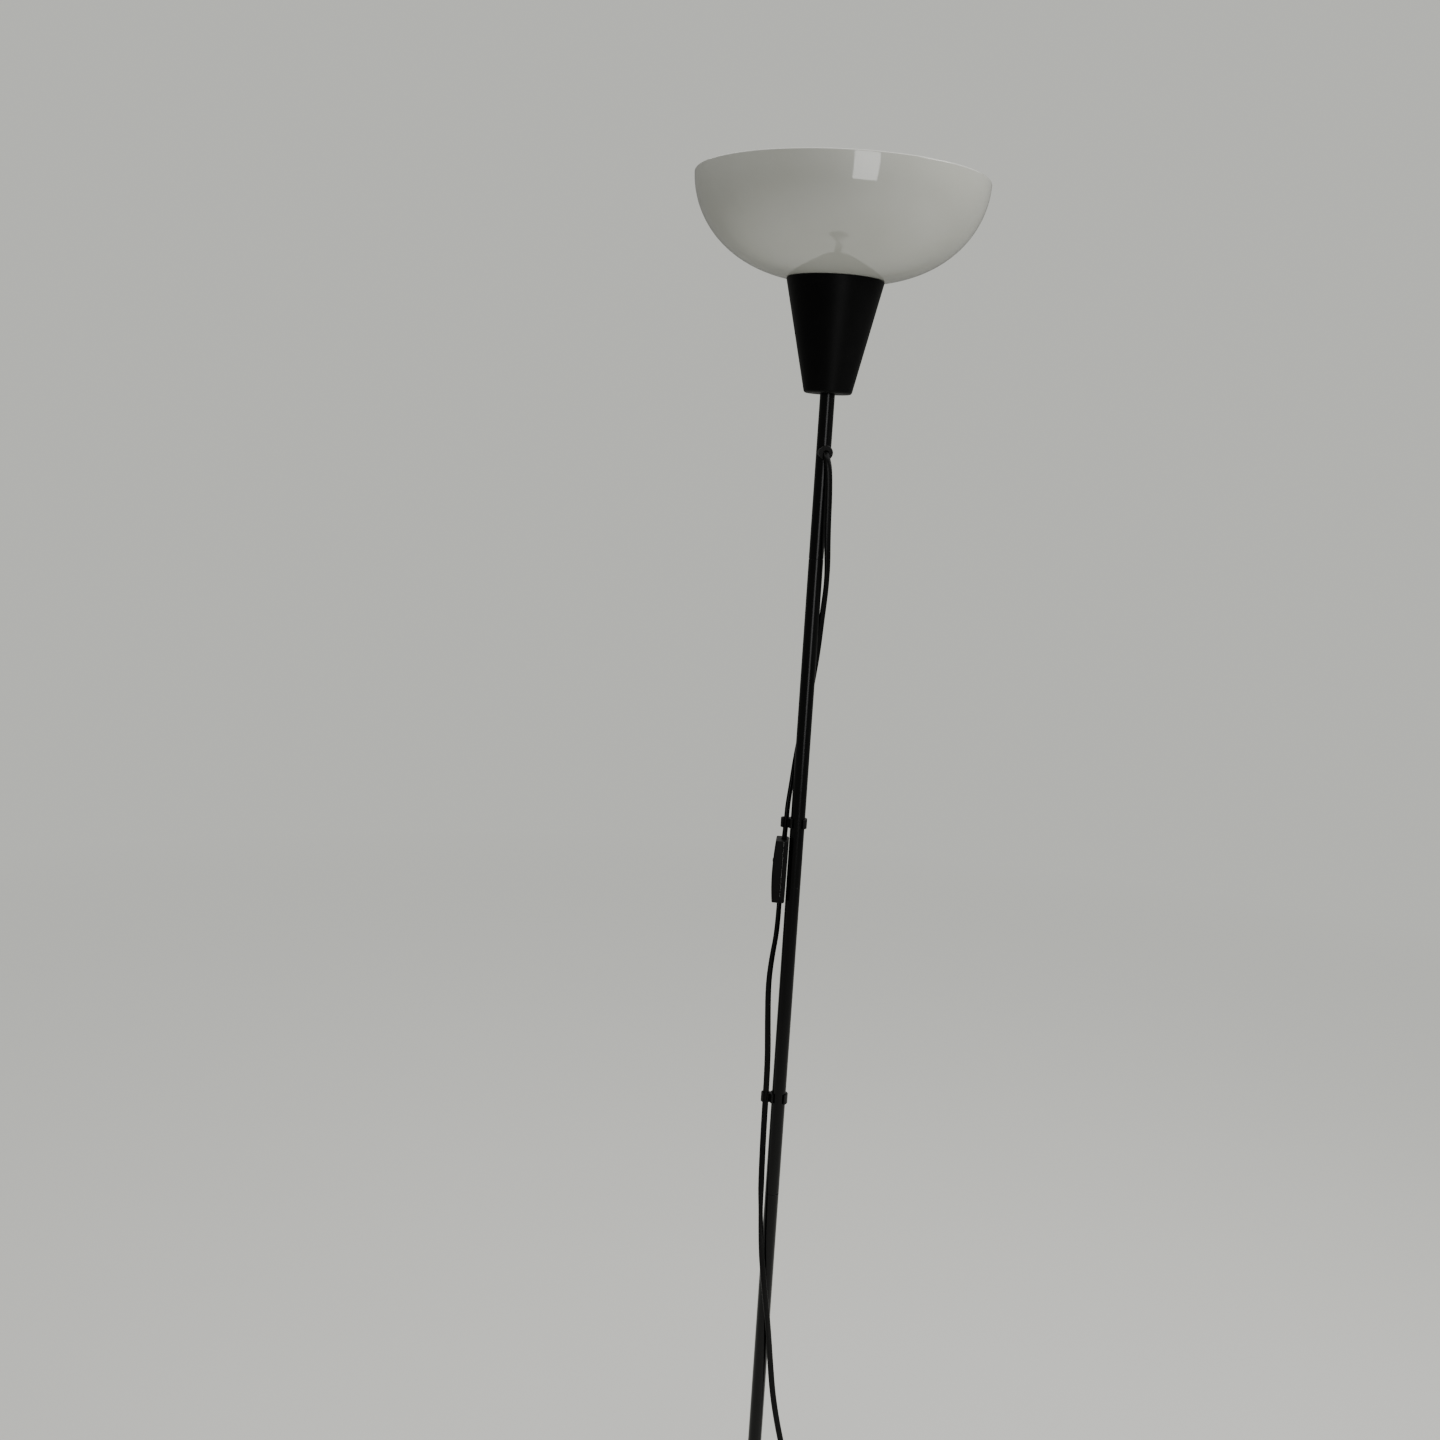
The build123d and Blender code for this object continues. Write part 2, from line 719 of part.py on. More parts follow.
# The length that is left is wound into a neat round coil behind the base.
coil_centre = (52.0, 190.0)
coil_radius = 31.0  # middle of the turns
turn_columns, turn_rows = 3, 3
column_pitch, row_pitch = 4.4, 6.3
coil_lift = 1.0  # room for the tie below the turns
coil_slack = 1.6  # the turns don't lie quite true
coil_rounding = 2.0
coil_half_width = (turn_columns * column_pitch + coil_slack) / 2
coil_height = turn_rows * row_pitch
coiled = total_lead - cord_lengths["cord_upper"] - cord_lengths["cord_lower"] - cord_lengths["cord_tail"]
print("coiled length", round(coiled), "turns", round(coiled / (2 * math.pi * coil_radius), 2))

with BuildPart() as cord_coil:
    with BuildSketch(Plane.XY.offset(coil_lift)):
        with Locations(coil_centre):
            Circle(coil_radius + coil_half_width)
            Circle(coil_radius - coil_half_width, mode=Mode.SUBTRACT)
    extrude(amount=coil_height)
    fillet(cord_coil.edges().filter_by(GeomType.CIRCLE), coil_rounding)
keep(cord_coil, "cord_coil")

tie_width = 5.0
tie_thickness = 0.8
with BuildPart() as coil_tie:
    tie_plane = Plane(
        origin=(coil_centre[0], coil_centre[1] - coil_radius, coil_lift + coil_height / 2),
        x_dir=(0, 1, 0),
        z_dir=(1, 0, 0),
    )
    with BuildSketch(tie_plane):
        across, up = 2 * coil_half_width + loose_gap, coil_height + loose_gap
        Rectangle(across + 2 * tie_thickness, up + 2 * tie_thickness)
        Rectangle(across, up, mode=Mode.SUBTRACT)
    extrude(amount=tie_width / 2, both=True)
keep(coil_tie, "coil_tie")

# ------------------------------------------------------------------ grommet
lip_side = 0.2  # between the lip's edge and the side of the tube
lip_radius = tube_radius - lip_side
lip_reach = 9.0
lip_rounding = 0.7
lip_seat = 0.2  # how far the neck runs into the lip
neck_inside = 1.0  # how far the grommet's neck reaches inside the tube
with BuildPart() as exit_grommet:
    with BuildSketch(exit_plane):
        Circle(lip_radius)
    extrude(amount=lip_reach)
    with BuildSketch(Plane.XY.offset(exit_z - 2 * lip_radius)):
        Circle(tube_radius + running_gap)
    extrude(amount=4 * lip_radius, mode=Mode.SUBTRACT)
    fillet(exit_grommet.edges().filter_by(GeomType.CIRCLE), lip_rounding)
    with BuildSketch(exit_plane.offset(bore_radius - neck_inside)):
        Circle(exit_hole_radius - running_gap)
    extrude(amount=tube_wall + neck_inside + lip_seat)
    bore_way = Plane(
        origin=around(7.2, exit_z), z_dir=Vector(*around(1.0, -1.0)).normalized()
    )
    with BuildSketch(bore_way.offset(-lip_radius)):
        Circle(cord_radius + loose_gap)
    extrude(amount=2 * lip_reach, mode=Mode.SUBTRACT)
    with BuildSketch(exit_plane.offset(tube_radius)):
        with Locations((-lip_radius, 0)):
            Rectangle(2 * lip_radius, 2 * (cord_radius + loose_gap))
    extrude(amount=lip_reach, mode=Mode.SUBTRACT)
keep(exit_grommet, "exit_grommet")

# ------------------------------------------------------------------ clips
clip_height = 10.0
clip_wall = 2.2
hook_radius = 3.7
hook_wall = 1.4
clip_mouth = 11.0  # the front opening, narrower than the tube
hook_mouth = 4.2
clip_rounding = 0.6
# Each clip: its height on the pole, and where its hook holds the lead.
clip_places = {"cable_clip_upper": (1131.5, -12.7, 0.8), "cable_clip_lower": (829.0, -14.0, 0.1)}
for node, (clip_z, hook_x, hook_y) in clip_places.items():
    grip_outer = tube_radius + running_gap + clip_wall
    with BuildPart() as clip:
        with BuildSketch(Plane.XY.offset(clip_z - clip_height / 2)) as clip_outline:
            Circle(grip_outer)
            with Locations((hook_x, hook_y)):
                Circle(hook_radius + hook_wall)
            Circle(tube_radius + running_gap, mode=Mode.SUBTRACT)
            with Locations((hook_x, hook_y)):
                Circle(hook_radius, mode=Mode.SUBTRACT)
            with Locations((0, -grip_outer)):
                Rectangle(clip_mouth, grip_outer, mode=Mode.SUBTRACT)
            with Locations((hook_x, hook_y - hook_radius)):
                Rectangle(hook_mouth, 2 * hook_radius, mode=Mode.SUBTRACT)
            fillet(clip_outline.vertices().group_by(Axis.Y)[0], clip_rounding)
        extrude(amount=clip_height)
    keep(clip, node)

# ------------------------------------------------------------------ in-line switch
# Its own frame: x across its thickness towards the pole, y along the lead, z across its width.
tilt = math.radians(switch_tilt)
switch_across = Vector(math.cos(tilt), 0, math.sin(tilt))
switch_along = Vector(-math.sin(tilt), 0, math.cos(tilt))
switch_centre = Vector(switch_x, 0, switch_z)
flat_way = Plane(origin=switch_centre, x_dir=switch_across, z_dir=(0, -1, 0))
face_way = Plane(origin=switch_centre, x_dir=(0, 1, 0), z_dir=-switch_across)
back_way = Plane(origin=switch_centre, x_dir=(0, 1, 0), z_dir=switch_across)
end_way = Plane(origin=switch_centre, x_dir=switch_across, z_dir=switch_along)
switch_width = 25.0
part_gap = 0.2
shell_wall = 1.8
lead_hole = cord_radius + 0.4
belly = 2.0  # how much the front bulges at its middle
rocker_length = 21.4
rocker_width = 11.0
rocker_pin_radius = 1.5
rocker_pin_depth = 4.2  # below the switch's front
rocker_pin_x = rocker_pin_depth - switch_half
rocker_rest = 7.0  # degrees, the off position
rocker_window = rocker_length + 1.4
lug_thickness = 2.2
lug_width, lug_length = 6.0, 7.0
lug_shift = 0.6  # the lug's middle, outward from the pin
shell_rounding = 1.2
back_rounding = 1.6
post_radius = 4.0  # the posts that the screws hold
post_gap = 1.0
screw_head_radius = 2.6
screw_head_recess = 1.4
screw_head_height = 1.2
screw_reach = 3.0  # past the parting plane, into the front shell
cross_length, cross_width, cross_depth = 3.4, 0.7, 0.5
switch_screw_spot = 23.5
switch_screw_radius = 1.4

front_flat = -switch_half + belly
with BuildPart() as switch_front:
    for inset in (0.0, shell_wall):
        end = switch_length / 2 - inset
        open_side = lead_offset - part_gap / 2 + inset
        with BuildSketch(flat_way):
            with BuildLine():
                Line((front_flat + inset, -end), (open_side, -end))
                Line((open_side, -end), (open_side, end))
                Line((open_side, end), (front_flat + inset, end))
                ThreePointArc((front_flat + inset, end), (-switch_half + inset, 0), (front_flat + inset, -end))
            make_face()
        extrude(amount=switch_width / 2 - inset, both=True, mode=Mode.SUBTRACT if inset else Mode.ADD)
        if not inset:
            fillet(switch_front.faces().sort_by(SortBy.AREA)[-1].edges(), shell_rounding)
    for side in (-1, 1):
        inner_side = rocker_width / 2 + loose_gap
        with BuildSketch(flat_way.offset(side * (inner_side + lug_thickness / 2))):
            with Locations((rocker_pin_x - lug_shift, 0)):
                Rectangle(lug_width, lug_length)
        extrude(amount=lug_thickness / 2, both=True)
    with BuildSketch(flat_way):
        with Locations((rocker_pin_x, 0)):
            Circle(rocker_pin_radius + running_gap)
    extrude(amount=switch_width / 2 - shell_wall, both=True, mode=Mode.SUBTRACT)
    with BuildSketch(face_way.offset(switch_half - shell_wall - belly - post_gap)):
        Rectangle(rocker_width + 2 * loose_gap, rocker_window)
    extrude(amount=2 * shell_wall + belly, mode=Mode.SUBTRACT)
    with BuildSketch(end_way.offset(-switch_length / 2)):
        with Locations((lead_offset, 0)):
            Circle(lead_hole)
    extrude(amount=switch_length, mode=Mode.SUBTRACT)
keep(switch_front, "switch_front_shell")

with BuildPart() as switch_back:
    for inset in (0.0, shell_wall):
        end = switch_length / 2 - inset
        open_side = lead_offset + part_gap / 2 - inset
        closed_side = switch_half - inset
        with BuildSketch(flat_way):
            with Locations(((open_side + closed_side) / 2, 0)):
                Rectangle(closed_side - open_side, 2 * end)
        extrude(amount=switch_width / 2 - inset, both=True, mode=Mode.SUBTRACT if inset else Mode.ADD)
        if not inset:
            fillet(switch_back.faces().sort_by(lambda f: f.center().X)[-1].edges(), back_rounding)
    with BuildSketch(back_way.offset(lead_offset + post_gap)):
        with Locations((0, switch_screw_spot), (0, -switch_screw_spot)):
            Circle(post_radius)
    extrude(amount=switch_half - shell_wall / 2 - lead_offset - post_gap)
    with BuildSketch(back_way):
        with Locations((0, switch_screw_spot), (0, -switch_screw_spot)):
            Circle(switch_screw_radius + running_gap)
    extrude(amount=2 * switch_half, mode=Mode.SUBTRACT)
    with BuildSketch(back_way.offset(switch_half - screw_head_recess)):
        with Locations((0, switch_screw_spot), (0, -switch_screw_spot)):
            Circle(screw_head_radius + near)
    extrude(amount=2 * screw_head_recess, mode=Mode.SUBTRACT)
    with BuildSketch(end_way.offset(-switch_length / 2)):
        with Locations((lead_offset, 0)):
            Circle(lead_hole)
    extrude(amount=switch_length, mode=Mode.SUBTRACT)
keep(switch_back, "switch_back_shell")

with BuildPart() as switch_screws:
    with BuildSketch(back_way.offset(switch_half - screw_head_recess)):
        with Locations((0, switch_screw_spot), (0, -switch_screw_spot)):
            Circle(screw_head_radius)
    extrude(amount=screw_head_height)
    with BuildSketch(back_way.offset(lead_offset - screw_reach)):
        with Locations((0, switch_screw_spot), (0, -switch_screw_spot)):
            Circle(switch_screw_radius)
    extrude(amount=switch_half - screw_head_recess - lead_offset + screw_reach)
    cross_z = switch_half - screw_head_recess + screw_head_height - cross_depth
    with BuildSketch(back_way.offset(cross_z)):
        with Locations((0, switch_screw_spot), (0, -switch_screw_spot)):
            Rectangle(cross_length, cross_width)
            Rectangle(cross_width, cross_length)
    extrude(amount=2 * cross_depth, mode=Mode.SUBTRACT)
keep(switch_screws, "switch_screws")

# The rocker turns about its own two stub pins, and rests with one end pressed in.
rocker_turn = math.radians(switch_tilt + rocker_rest)
rocker_way = Plane(
    origin=switch_centre + switch_across * rocker_pin_x,
    x_dir=(math.cos(rocker_turn), 0, math.sin(rocker_turn)),
    z_dir=(0, -1, 0),
)
rocker_face = -2.5  # its hollow middle, from the pin
rocker_tip = -3.3
rocker_inside = -0.6
rocker_hub_radius = 2.4
with BuildPart() as switch_rocker:
    with BuildSketch(rocker_way):
        with BuildLine():
            Line((rocker_inside, rocker_length / 2), (rocker_tip, rocker_length / 2))
            ThreePointArc((rocker_tip, rocker_length / 2), (rocker_face, 0), (rocker_tip, -rocker_length / 2))
            Line((rocker_tip, -rocker_length / 2), (rocker_inside, -rocker_length / 2))
            Line((rocker_inside, -rocker_length / 2), (rocker_inside, rocker_length / 2))
        make_face()
        Circle(rocker_hub_radius)
    extrude(amount=rocker_width / 2, both=True)
    with BuildSketch(rocker_way):
        Circle(rocker_pin_radius)
    extrude(amount=rocker_width / 2 + loose_gap + lug_thickness, both=True)
keep(switch_rocker, "switch_rocker")

contact_sheet_thickness = 0.8
contact_strip_length = 16.0
contact_tab_length = 4.8
contact_strip_width = 3.6
contact_side = 3.4  # from the switch's middle
contact_strip_in, contact_strip_along = 2.4, 9.0  # past the parting plane, and along the lead
contact_tab_in, contact_tab_along = 0.4, 16.6
with BuildPart() as switch_contacts:
    for side in (-1, 1):
        with BuildSketch(flat_way.offset(side * contact_side)):
            with Locations((lead_offset + contact_strip_in, side * contact_strip_along)):
                Rectangle(contact_sheet_thickness, contact_strip_length)
            with Locations((lead_offset + contact_tab_in, side * contact_tab_along)):
                Rectangle(contact_tab_length, contact_sheet_thickness)
        extrude(amount=contact_strip_width / 2, both=True)
keep(switch_contacts, "switch_contacts")

# ------------------------------------------------------------------ plug
plug_rear = tail_points[-1]
plug_thickness = 2 * plug_rear[2]
plug_length = 36.0
pin_spacing = 18.6
pin_radius = 2.0
pin_length = 19.0
sleeve_length = 10.0
sleeve_radius = 1.8
pin_core = 1.5
pin_rounding = 1.2
plug_half_width = 17.6
plug_half_front = 13.0
plug_half_rear = 6.5
plug_wide_from, plug_wide_to = 16.0, 30.0  # from its rear
plug_corner = 2.5
plug_edge = 2.0
pin_root = 8.0
boot_length = 20.0
boot_root_radius = 5.6
boot_end_radius = 4.0
boot_gap = 0.2
plug_way = Plane(origin=(plug_rear[0], plug_rear[1], 0), x_dir=(-1, 0, 0), z_dir=(0, 0, 1))
pin_way = Plane(origin=(plug_rear[0] - plug_length, plug_rear[1], plug_rear[2]), x_dir=(0, 1, 0),
                z_dir=(-1, 0, 0))
pin_spots = [(pin_spacing / 2, 0), (-pin_spacing / 2, 0)]

with BuildPart() as plug_body:
    with BuildSketch(plug_way) as plug_outline:
        with BuildLine():
            Polyline(
                (0, -plug_half_rear),
                (plug_wide_from, -plug_half_width),
                (plug_wide_to, -plug_half_width),
                (plug_length, -plug_half_front),
                (plug_length, plug_half_front),
                (plug_wide_to, plug_half_width),
                (plug_wide_from, plug_half_width),
                (0, plug_half_rear),
                close=True,
            )
        make_face()
        fillet(plug_outline.vertices(), plug_corner)
    extrude(amount=plug_thickness)
    flat_sides = plug_body.faces().group_by(Axis.Z)
    fillet(flat_sides[-1].edges() + flat_sides[0].edges(), plug_edge)
    with BuildSketch(pin_way.offset(-pin_root)):
        with Locations(*pin_spots):
            Circle(pin_core + press_gap)
    extrude(amount=2 * pin_root, mode=Mode.SUBTRACT)
keep(plug_body, "plug_body")

with BuildPart() as plug_pins:
    with BuildSketch(pin_way.offset(-pin_root)):
        with Locations(*pin_spots):
            Circle(pin_core)
    extrude(amount=pin_root + sleeve_length)
    with BuildSketch(pin_way.offset(sleeve_length)):
        with Locations(*pin_spots):
            Circle(pin_radius)
    extrude(amount=pin_length - sleeve_length)
    fillet(plug_pins.edges().group_by(Axis.X)[0], pin_rounding)
keep(plug_pins, "plug_pins")

with BuildPart() as pin_sleeves:
    with BuildSketch(pin_way):
        with Locations(*pin_spots):
            Circle(sleeve_radius)
            Circle(pin_core + press_gap, mode=Mode.SUBTRACT)
    extrude(amount=sleeve_length)
keep(pin_sleeves, "pin_sleeves")

with BuildPart() as plug_boot:
    boot_way = Plane(origin=(plug_rear[0], plug_rear[1], plug_rear[2]), x_dir=(0, 1, 0), z_dir=(1, 0, 0))
    with BuildSketch(boot_way):
        Circle(boot_root_radius)
    with BuildSketch(boot_way.offset(boot_length)):
        Circle(boot_end_radius)
    loft()
    with BuildSketch(boot_way):
        Circle(cord_radius + boot_gap)
    extrude(amount=boot_length, mode=Mode.SUBTRACT)
keep(plug_boot, "plug_boot")
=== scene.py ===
# %% [markdown]
# # A torchiere floor lamp
# The lamp is a slim black pole on a round weighted base, with an opal bowl on a black cone at the top.
# The CAD model gives every size and place, and this notebook gives the looks. Each step says first what
# the piece is on the real lamp, and then how it is made here. The scene is in metres, with +Z up and the
# origin on the floor under the pole. Outlines and routes are written in millimetres.

# %% Load the frame
import json
import math

import bmesh
import bpy
from mathutils import Matrix, Quaternion, Vector


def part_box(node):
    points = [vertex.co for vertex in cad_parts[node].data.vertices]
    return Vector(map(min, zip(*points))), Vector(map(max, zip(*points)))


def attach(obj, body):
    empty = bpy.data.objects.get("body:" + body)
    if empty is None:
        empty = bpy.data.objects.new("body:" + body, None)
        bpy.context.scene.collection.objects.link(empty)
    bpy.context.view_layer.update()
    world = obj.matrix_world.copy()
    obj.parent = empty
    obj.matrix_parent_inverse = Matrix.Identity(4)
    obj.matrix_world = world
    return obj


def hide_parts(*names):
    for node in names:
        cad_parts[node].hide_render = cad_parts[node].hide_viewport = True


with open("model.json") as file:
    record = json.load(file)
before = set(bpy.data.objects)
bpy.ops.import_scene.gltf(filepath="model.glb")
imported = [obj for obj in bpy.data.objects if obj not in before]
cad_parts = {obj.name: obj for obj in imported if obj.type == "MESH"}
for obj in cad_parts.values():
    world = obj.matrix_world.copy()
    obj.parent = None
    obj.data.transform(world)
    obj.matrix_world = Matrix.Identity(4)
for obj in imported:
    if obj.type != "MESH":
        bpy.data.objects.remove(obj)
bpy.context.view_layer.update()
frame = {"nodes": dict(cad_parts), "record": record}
MM = 0.001
UP = Vector((0, 0, 1))


def heights(node):
    """The lowest and highest place of a CAD node, in millimetres."""
    low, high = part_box(node)
    return low.z / MM, high.z / MM


# %% [markdown]
# The camera stands low, a metre and a half in front of the pole, and tips down and sideways as a hand
# held one does. Its place is counted from the rim of the bowl, because the bowl is what it looks at.

# %% Camera
shade_low, shade_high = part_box("shade")
rim_z = shade_high.z
camera_distance = 1.5527
camera_below_rim = 0.2916
camera_yaw, camera_pitch, camera_roll = math.radians(-3.226), math.radians(9.109), math.radians(3.475)

camera_data = bpy.data.cameras.new("camera")
camera_data.lens = 38.02
camera = bpy.data.objects.new("camera", camera_data)
bpy.context.collection.objects.link(camera)
look = Vector((
    math.sin(camera_yaw) * math.cos(camera_pitch),
    math.cos(camera_yaw) * math.cos(camera_pitch),
    -math.sin(camera_pitch),
))
camera.rotation_mode = "QUATERNION"
camera.rotation_quaternion = look.to_track_quat("-Z", "Y") @ Quaternion((0, 0, 1), camera_roll)
camera.location = (0, -camera_distance, rim_z - camera_below_rim)
camera_data.clip_start, camera_data.clip_end = 0.05, 60
bpy.context.scene.camera = camera
print("camera at", [round(v, 4) for v in camera.location])

# %% [markdown]
# The lead is one flat two-core cord in two lengths, with the switch between them. Its route is a list
# of given points, and a smooth NURBS line of order 3 runs near them. The length that is left
# over is wound into a neat coil on the floor behind the base, and a loop works out the turns.

# %% Routes of the lead
lead_width, lead_thickness = 6.6 * MM, 3.5 * MM
exit_z = 1512.5
exit_turn = math.radians(-72.0)


def beside_hole(distance, z):
    return (distance * math.cos(exit_turn), distance * math.sin(exit_turn), z)


upper_route = [
    beside_hole(7.2, exit_z),
    beside_hole(11.0, exit_z - 3.8),
    (6.6, -11.9, exit_z - 14.0),
    (8.6, -11.2, 1474.0),
    (9.8, -9.4, 1430.0),
    (12.8, -3.6, 1389.0),
    (10.5, 3.4, 1350.0),
    (7.6, 8.8, 1305.0),
    (2.6, 12.2, 1262.0),
    (-3.6, 12.0, 1220.0),
    (-8.0, 8.0, 1184.0),
    (-11.6, 0.6, 1152.0),
    (-12.0, -0.6, 1134.0),
    (-12.9, 0.0, 1111.5),
]
hanging_route = [
    (-13.5, 0.0, 1049.5),
    (-13.4, 0.0, 1016.0),
    (-17.4, -0.5, 984.0),
    (-19.2, -0.8, 955.0),
    (-17.2, -0.4, 915.0),
    (-14.1, 0.2, 868.0),
    (-13.8, 0.0, 802.0),
    (-12.9, -3.4, 748.0),
    (-11.0, -7.6, 700.0),
    (-7.0, -10.8, 655.0),
    (-0.5, -12.0, 610.0),
    (6.6, -10.6, 566.0),
    (11.4, -7.4, 522.0),
    (17.4, -5.2, 478.0),
    (29.5, -2.0, 424.0),
    (46.0, 4.0, 366.0),
    (64.0, 14.0, 306.0),
    (84.0, 28.0, 246.0),
    (106.0, 46.0, 188.0),
    (130.0, 66.0, 134.0),
    (150.0, 90.0, 86.0),
    (163.0, 115.0, 46.0),
    (167.0, 143.0, 16.0),
    (162.0, 172.0, 3.5),
    (146.0, 198.0, 3.5),
    (120.0, 217.0, 3.5),
    (90.0, 226.0, 3.6),
]
tail_route = [
    (24.0, 228.0, 11.0),
    (3.0, 225.0, 7.6),
    (-17.0, 222.0, 6.85),
    (-36.0, 221.6, 6.85),
]

# %% Turns of the coil
coil_centre = (52.0, 190.0)
coil_radius = 31.0
column_pitch, row_pitch = 4.4, 6.5
coil_lift = 0.75
points_per_turn = 16
# Each turn's column (-1 inside, 1 outside) and row, in the order of winding.
turn_places = [(1, 0), (0, 0), (-1, 0), (-1, 1), (0, 1), (1, 1), (0, 2), (1, 2)]
outward = 1 / math.cos(math.pi / points_per_turn)  # the smooth line cuts inside its points


def ease(value):
    value = min(1.0, max(0.0, value))
    return value * value * (3 - 2 * value)


def coil_route():
    """Anticlockwise turns from the outer, lowest place; a turn climbs first and then moves sideways."""
    points = []
    for number, (column, row) in enumerate(turn_places):
        after = turn_places[min(number + 1, len(turn_places) - 1)]
        for step in range(points_per_turn):
            share = step / points_per_turn
            climb, move = ease((share - 0.7) / 0.15), ease((share - 0.85) / 0.15)
            radius = coil_radius + column_pitch * (column + (after[0] - column) * move)
            height = coil_lift + row_pitch * (0.5 + row + (after[1] - row) * climb)
            angle = math.pi / 2 + 2 * math.pi * share
            points.append((
                coil_centre[0] + outward * radius * math.cos(angle),
                coil_centre[1] + outward * radius * math.sin(angle),
                height,
            ))
    return points


lower_route = hanging_route + coil_route() + tail_route
print("turns", len(turn_places), "points in the lower route", len(lower_route))


# %% Smooth lines through the routes
def smooth_line(name, route, steps):
    """Points of the NURBS line that has the route as its control points, in metres."""
    curve = bpy.data.curves.new(name, "CURVE")
    curve.dimensions = "3D"
    curve.resolution_u = steps
    spline = curve.splines.new("NURBS")
    spline.points.add(len(route) - 1)
    for point, place in zip(spline.points, route):
        point.co = (*[value * MM for value in place], 1.0)
    spline.order_u = 3
    spline.use_endpoint_u = True
    holder = bpy.data.objects.new(name, curve)
    bpy.context.collection.objects.link(holder)
    mesh = bpy.data.meshes.new_from_object(holder)
    line = [v.co.copy() for v in mesh.vertices]
    bpy.data.objects.remove(holder)
    bpy.data.meshes.remove(mesh)
    return line


def line_length(line):
    return sum((b - a).length for a, b in zip(line, line[1:]))


upper_line = smooth_line("upper_line", upper_route, 10)
lower_line = smooth_line("lower_line", lower_route, 8)
print("lead lengths", round(line_length(upper_line), 3), round(line_length(lower_line), 3),
      "points", len(upper_line), len(lower_line))

# %% [markdown]
# The lead is flat, so it shows its broad side in some places and its edge in others. A band of rings is
# carried along the line. At each ring the broad way is a target direction made square to the line: a
# slowly turning level direction where the lead hangs, and straight up where it lies wound on its edge.

# %% Mesh of the flat lead
ring_points = 20


def lead_outline():
    """A flat section with round ends, as points (broad way, thin way)."""
    outline = []
    reach = (lead_width - lead_thickness) / 2
    for step in range(ring_points):
        angle = 2 * math.pi * (step + 0.5) / ring_points
        side = 1 if math.cos(angle) > 0 else -1
        outline.append((
            side * reach + lead_thickness / 2 * math.cos(angle),
            lead_thickness / 2 * math.sin(angle),
        ))
    return outline


def band(name, line, broad_way):
    """A closed tube of flat sections along a line, with a UV map: round it, and metres along it."""
    outline = lead_outline()
    work = bmesh.new()
    rings = []
    travelled = 0.0
    lengths = []
    for index, here in enumerate(line):
        before, after = line[max(index - 1, 0)], line[min(index + 1, len(line) - 1)]
        along = (after - before).normalized()
        if index:
            travelled += (here - line[index - 1]).length
        lengths.append(travelled)
        target = broad_way(here, travelled, along)
        broad = (target - along * target.dot(along)).normalized()
        if index and broad.dot(last_broad) < 0:
            broad = -broad  # the section is the same both ways round, so it never turns over
        last_broad = broad
        thin = along.cross(broad)
        rings.append([work.verts.new(here + broad * a + thin * b) for a, b in outline])
    layer = work.loops.layers.uv.new("along")
    count = len(outline)
    for index in range(len(rings) - 1):
        for k in range(count):
            face = work.faces.new((
                rings[index][k], rings[index][(k + 1) % count],
                rings[index + 1][(k + 1) % count], rings[index + 1][k],
            ))
            face.smooth = True
            places = ((k, index), (k + 1, index), (k + 1, index + 1), (k, index + 1))
            for loop, (round_step, along_step) in zip(face.loops, places):
                loop[layer].uv = (round_step / count, lengths[along_step])
    work.faces.new(rings[0][::-1])
    work.faces.new(rings[-1])
    bmesh.ops.recalc_face_normals(work, faces=work.faces)
    mesh = bpy.data.meshes.new(name)
    work.to_mesh(mesh)
    work.free()
    piece = bpy.data.objects.new(name, mesh)
    bpy.context.collection.objects.link(piece)
    return piece


def level(degrees):
    turn = math.radians(degrees)
    return Vector((math.cos(turn), math.sin(turn), 0))


def between(marks, height):
    """The value at a height, from a few (height, value) marks listed from the top down."""
    if height >= marks[0][0]:
        return marks[0][1]
    for (high, first), (low, second) in zip(marks, marks[1:]):
        if height >= low:
            return first + (second - first) * ease((high - height) / (high - low))
    return marks[-1][1]


# Direction of the broad side, in degrees from +X, at heights in millimetres.
upper_twist = [
    (1470, 18), (1420, 20), (1385, 50), (1350, 40), (1300, 15), (1210, 10), (1165, 60),
    (1140, 55), (1112, 50),
]
lower_twist = [
    (1049, 55), (1015, 50), (930, 30), (870, 0), (745, 0), (700, 65), (640, 30), (560, 40),
    (500, 8), (420, 14), (300, 40), (150, 50),
]
# Past this length the lead comes down to the floor, and below this height it turns onto its edge.
landing_length, landing_height, landing_span = 0.9, 0.06, 0.05
least_sideways = 0.2


def upper_way(here, travelled, along):
    return level(between(upper_twist, here.z / MM))


def lower_way(here, travelled, along):
    hanging = level(between(lower_twist, here.z / MM))
    landed = travelled > landing_length
    lying = ease((landing_height - here.z) / landing_span) if landed else 0.0
    sideways = along.cross(UP)
    if landed and sideways.length > least_sideways:
        hanging = hanging if hanging.dot(sideways) >= 0 else -hanging
    return hanging.lerp(UP, lying)


lead_upper = band("lead_upper", upper_line, upper_way)
lead_lower = band("lead_lower", lower_line, lower_way)
print("lead faces", len(lead_upper.data.polygons), len(lead_lower.data.polygons))

# %% [markdown]
# Every finish below is worked out by shader maths. A small class wraps one output socket of a node tree,
# so that an expression such as `mask * 0.5 + 0.2` adds its Math nodes, and one method makes every other
# kind of node. Numbers that are the same all over a piece are set straight on the shader's sockets.


